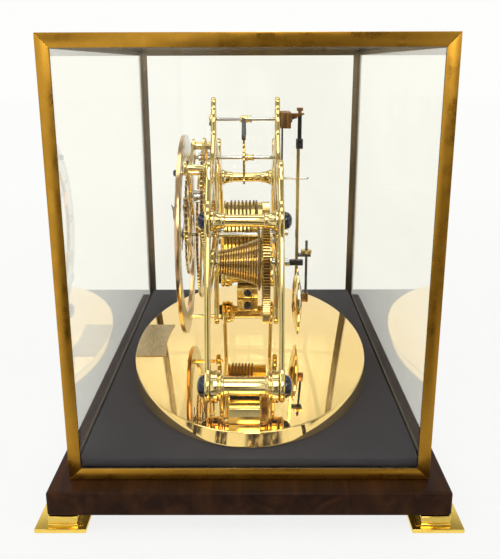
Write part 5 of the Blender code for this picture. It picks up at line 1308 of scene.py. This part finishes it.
def card_paint(name, strength, *stops):
    """A glow with soft edges, which only reflections show."""
    made, tree, shader = new_material(name)
    tree.nodes.remove(shader)
    patches = ramp(tree, noise(tree, 6.0, 2.0, (0.4, 1.0, 1.0)), *stops)
    glow = add(tree, "Emission", {"Color": patches, "Strength": strength}).outputs[0]
    share = calc(tree, "MINIMUM", add(tree, "LightPath").outputs["Glossy Depth"], 1.0)
    for axis in ("X", "Y"):
        share = calc(tree, "MULTIPLY", share, across_card(tree, axis))
    surface(tree, mix(tree, share, add(tree, "BsdfTransparent").outputs[0], glow))
    return made


# Direction in degrees from +X, low and high edge, width.
CARDS = ((17.0, -0.3, 1.0, 1.45), (-34.0, -0.2, 0.65, 0.45), (-66.0, -0.1, 0.85, 0.60),
         (86.0, 0.0, 0.80, 1.0), (-100.0, 0.0, 0.60, 0.50), (-130.0, 0.0, 0.55, 0.60),
         (132.0, 0.0, 0.60, 0.70))


def make_cards():
    """Dark cards round the clock, and one bright window high in front."""
    shade = card_paint("dark_card", 1.0, (0.38, 0.030, 0.024, 0.015), (0.50, 0.120, 0.100, 0.070),
                       (0.62, 0.600, 0.540, 0.430))
    window = card_paint("bright_card", 9.0, (0.40, 0.55, 0.54, 0.52), (0.52, 1.0, 0.99, 0.97))
    facing = spin(RIGHT_ANGLE, "Y")
    places = [(shade, spin(math.radians(way), "Z") @ move(1.6, 0, (low + high) / 2) @ facing
               @ Matrix.Diagonal((high - low, wide, 1.0, 1.0))) for way, low, high, wide in CARDS]
    places.append((shade, move(1.30, 0.16, 0.004) @ Matrix.Diagonal((2.4, 0.80, 1.0, 1.0))))
    places.append((window, spin(math.radians(4.0), "Z") @ spin(math.radians(-41.0), "Y")
                   @ move(1.5, 0, 0) @ facing @ Matrix.Diagonal((0.80, 0.50, 1.0, 1.0))))
    for k, (paint, place) in enumerate(places):
        bm = bmesh.new()
        bmesh.ops.create_grid(bm, x_segments=1, y_segments=1, size=0.5)
        card = finish(paint, bm, name=f"card_{k}")
        card.matrix_world = place
        for ray in ("camera", "diffuse", "shadow"):
            setattr(card, "visible_" + ray, False)


def make_studio():
    bpy.context.scene.view_settings.view_transform = "Standard"
    make_world()
    make_floor()
    make_cards()
    lamp("key", (0.55, -1.0, 1.35), (0.8, 0.8), 6.0)
    lamp("fill", (0.9, 0.9, 1.1), (0.7, 0.7), 3.0)
    lamp("overhead", (-0.15, 0.0, 1.6), (1.2, 0.8), 6.5)


for make in (make_camera, make_base, make_plates, make_pillars, make_barrel, make_fusee,
             make_click, make_train, make_pallets, make_cock, make_pendulum, make_bridge,
             make_motion_work, make_dial, make_case, make_studio):
    make()
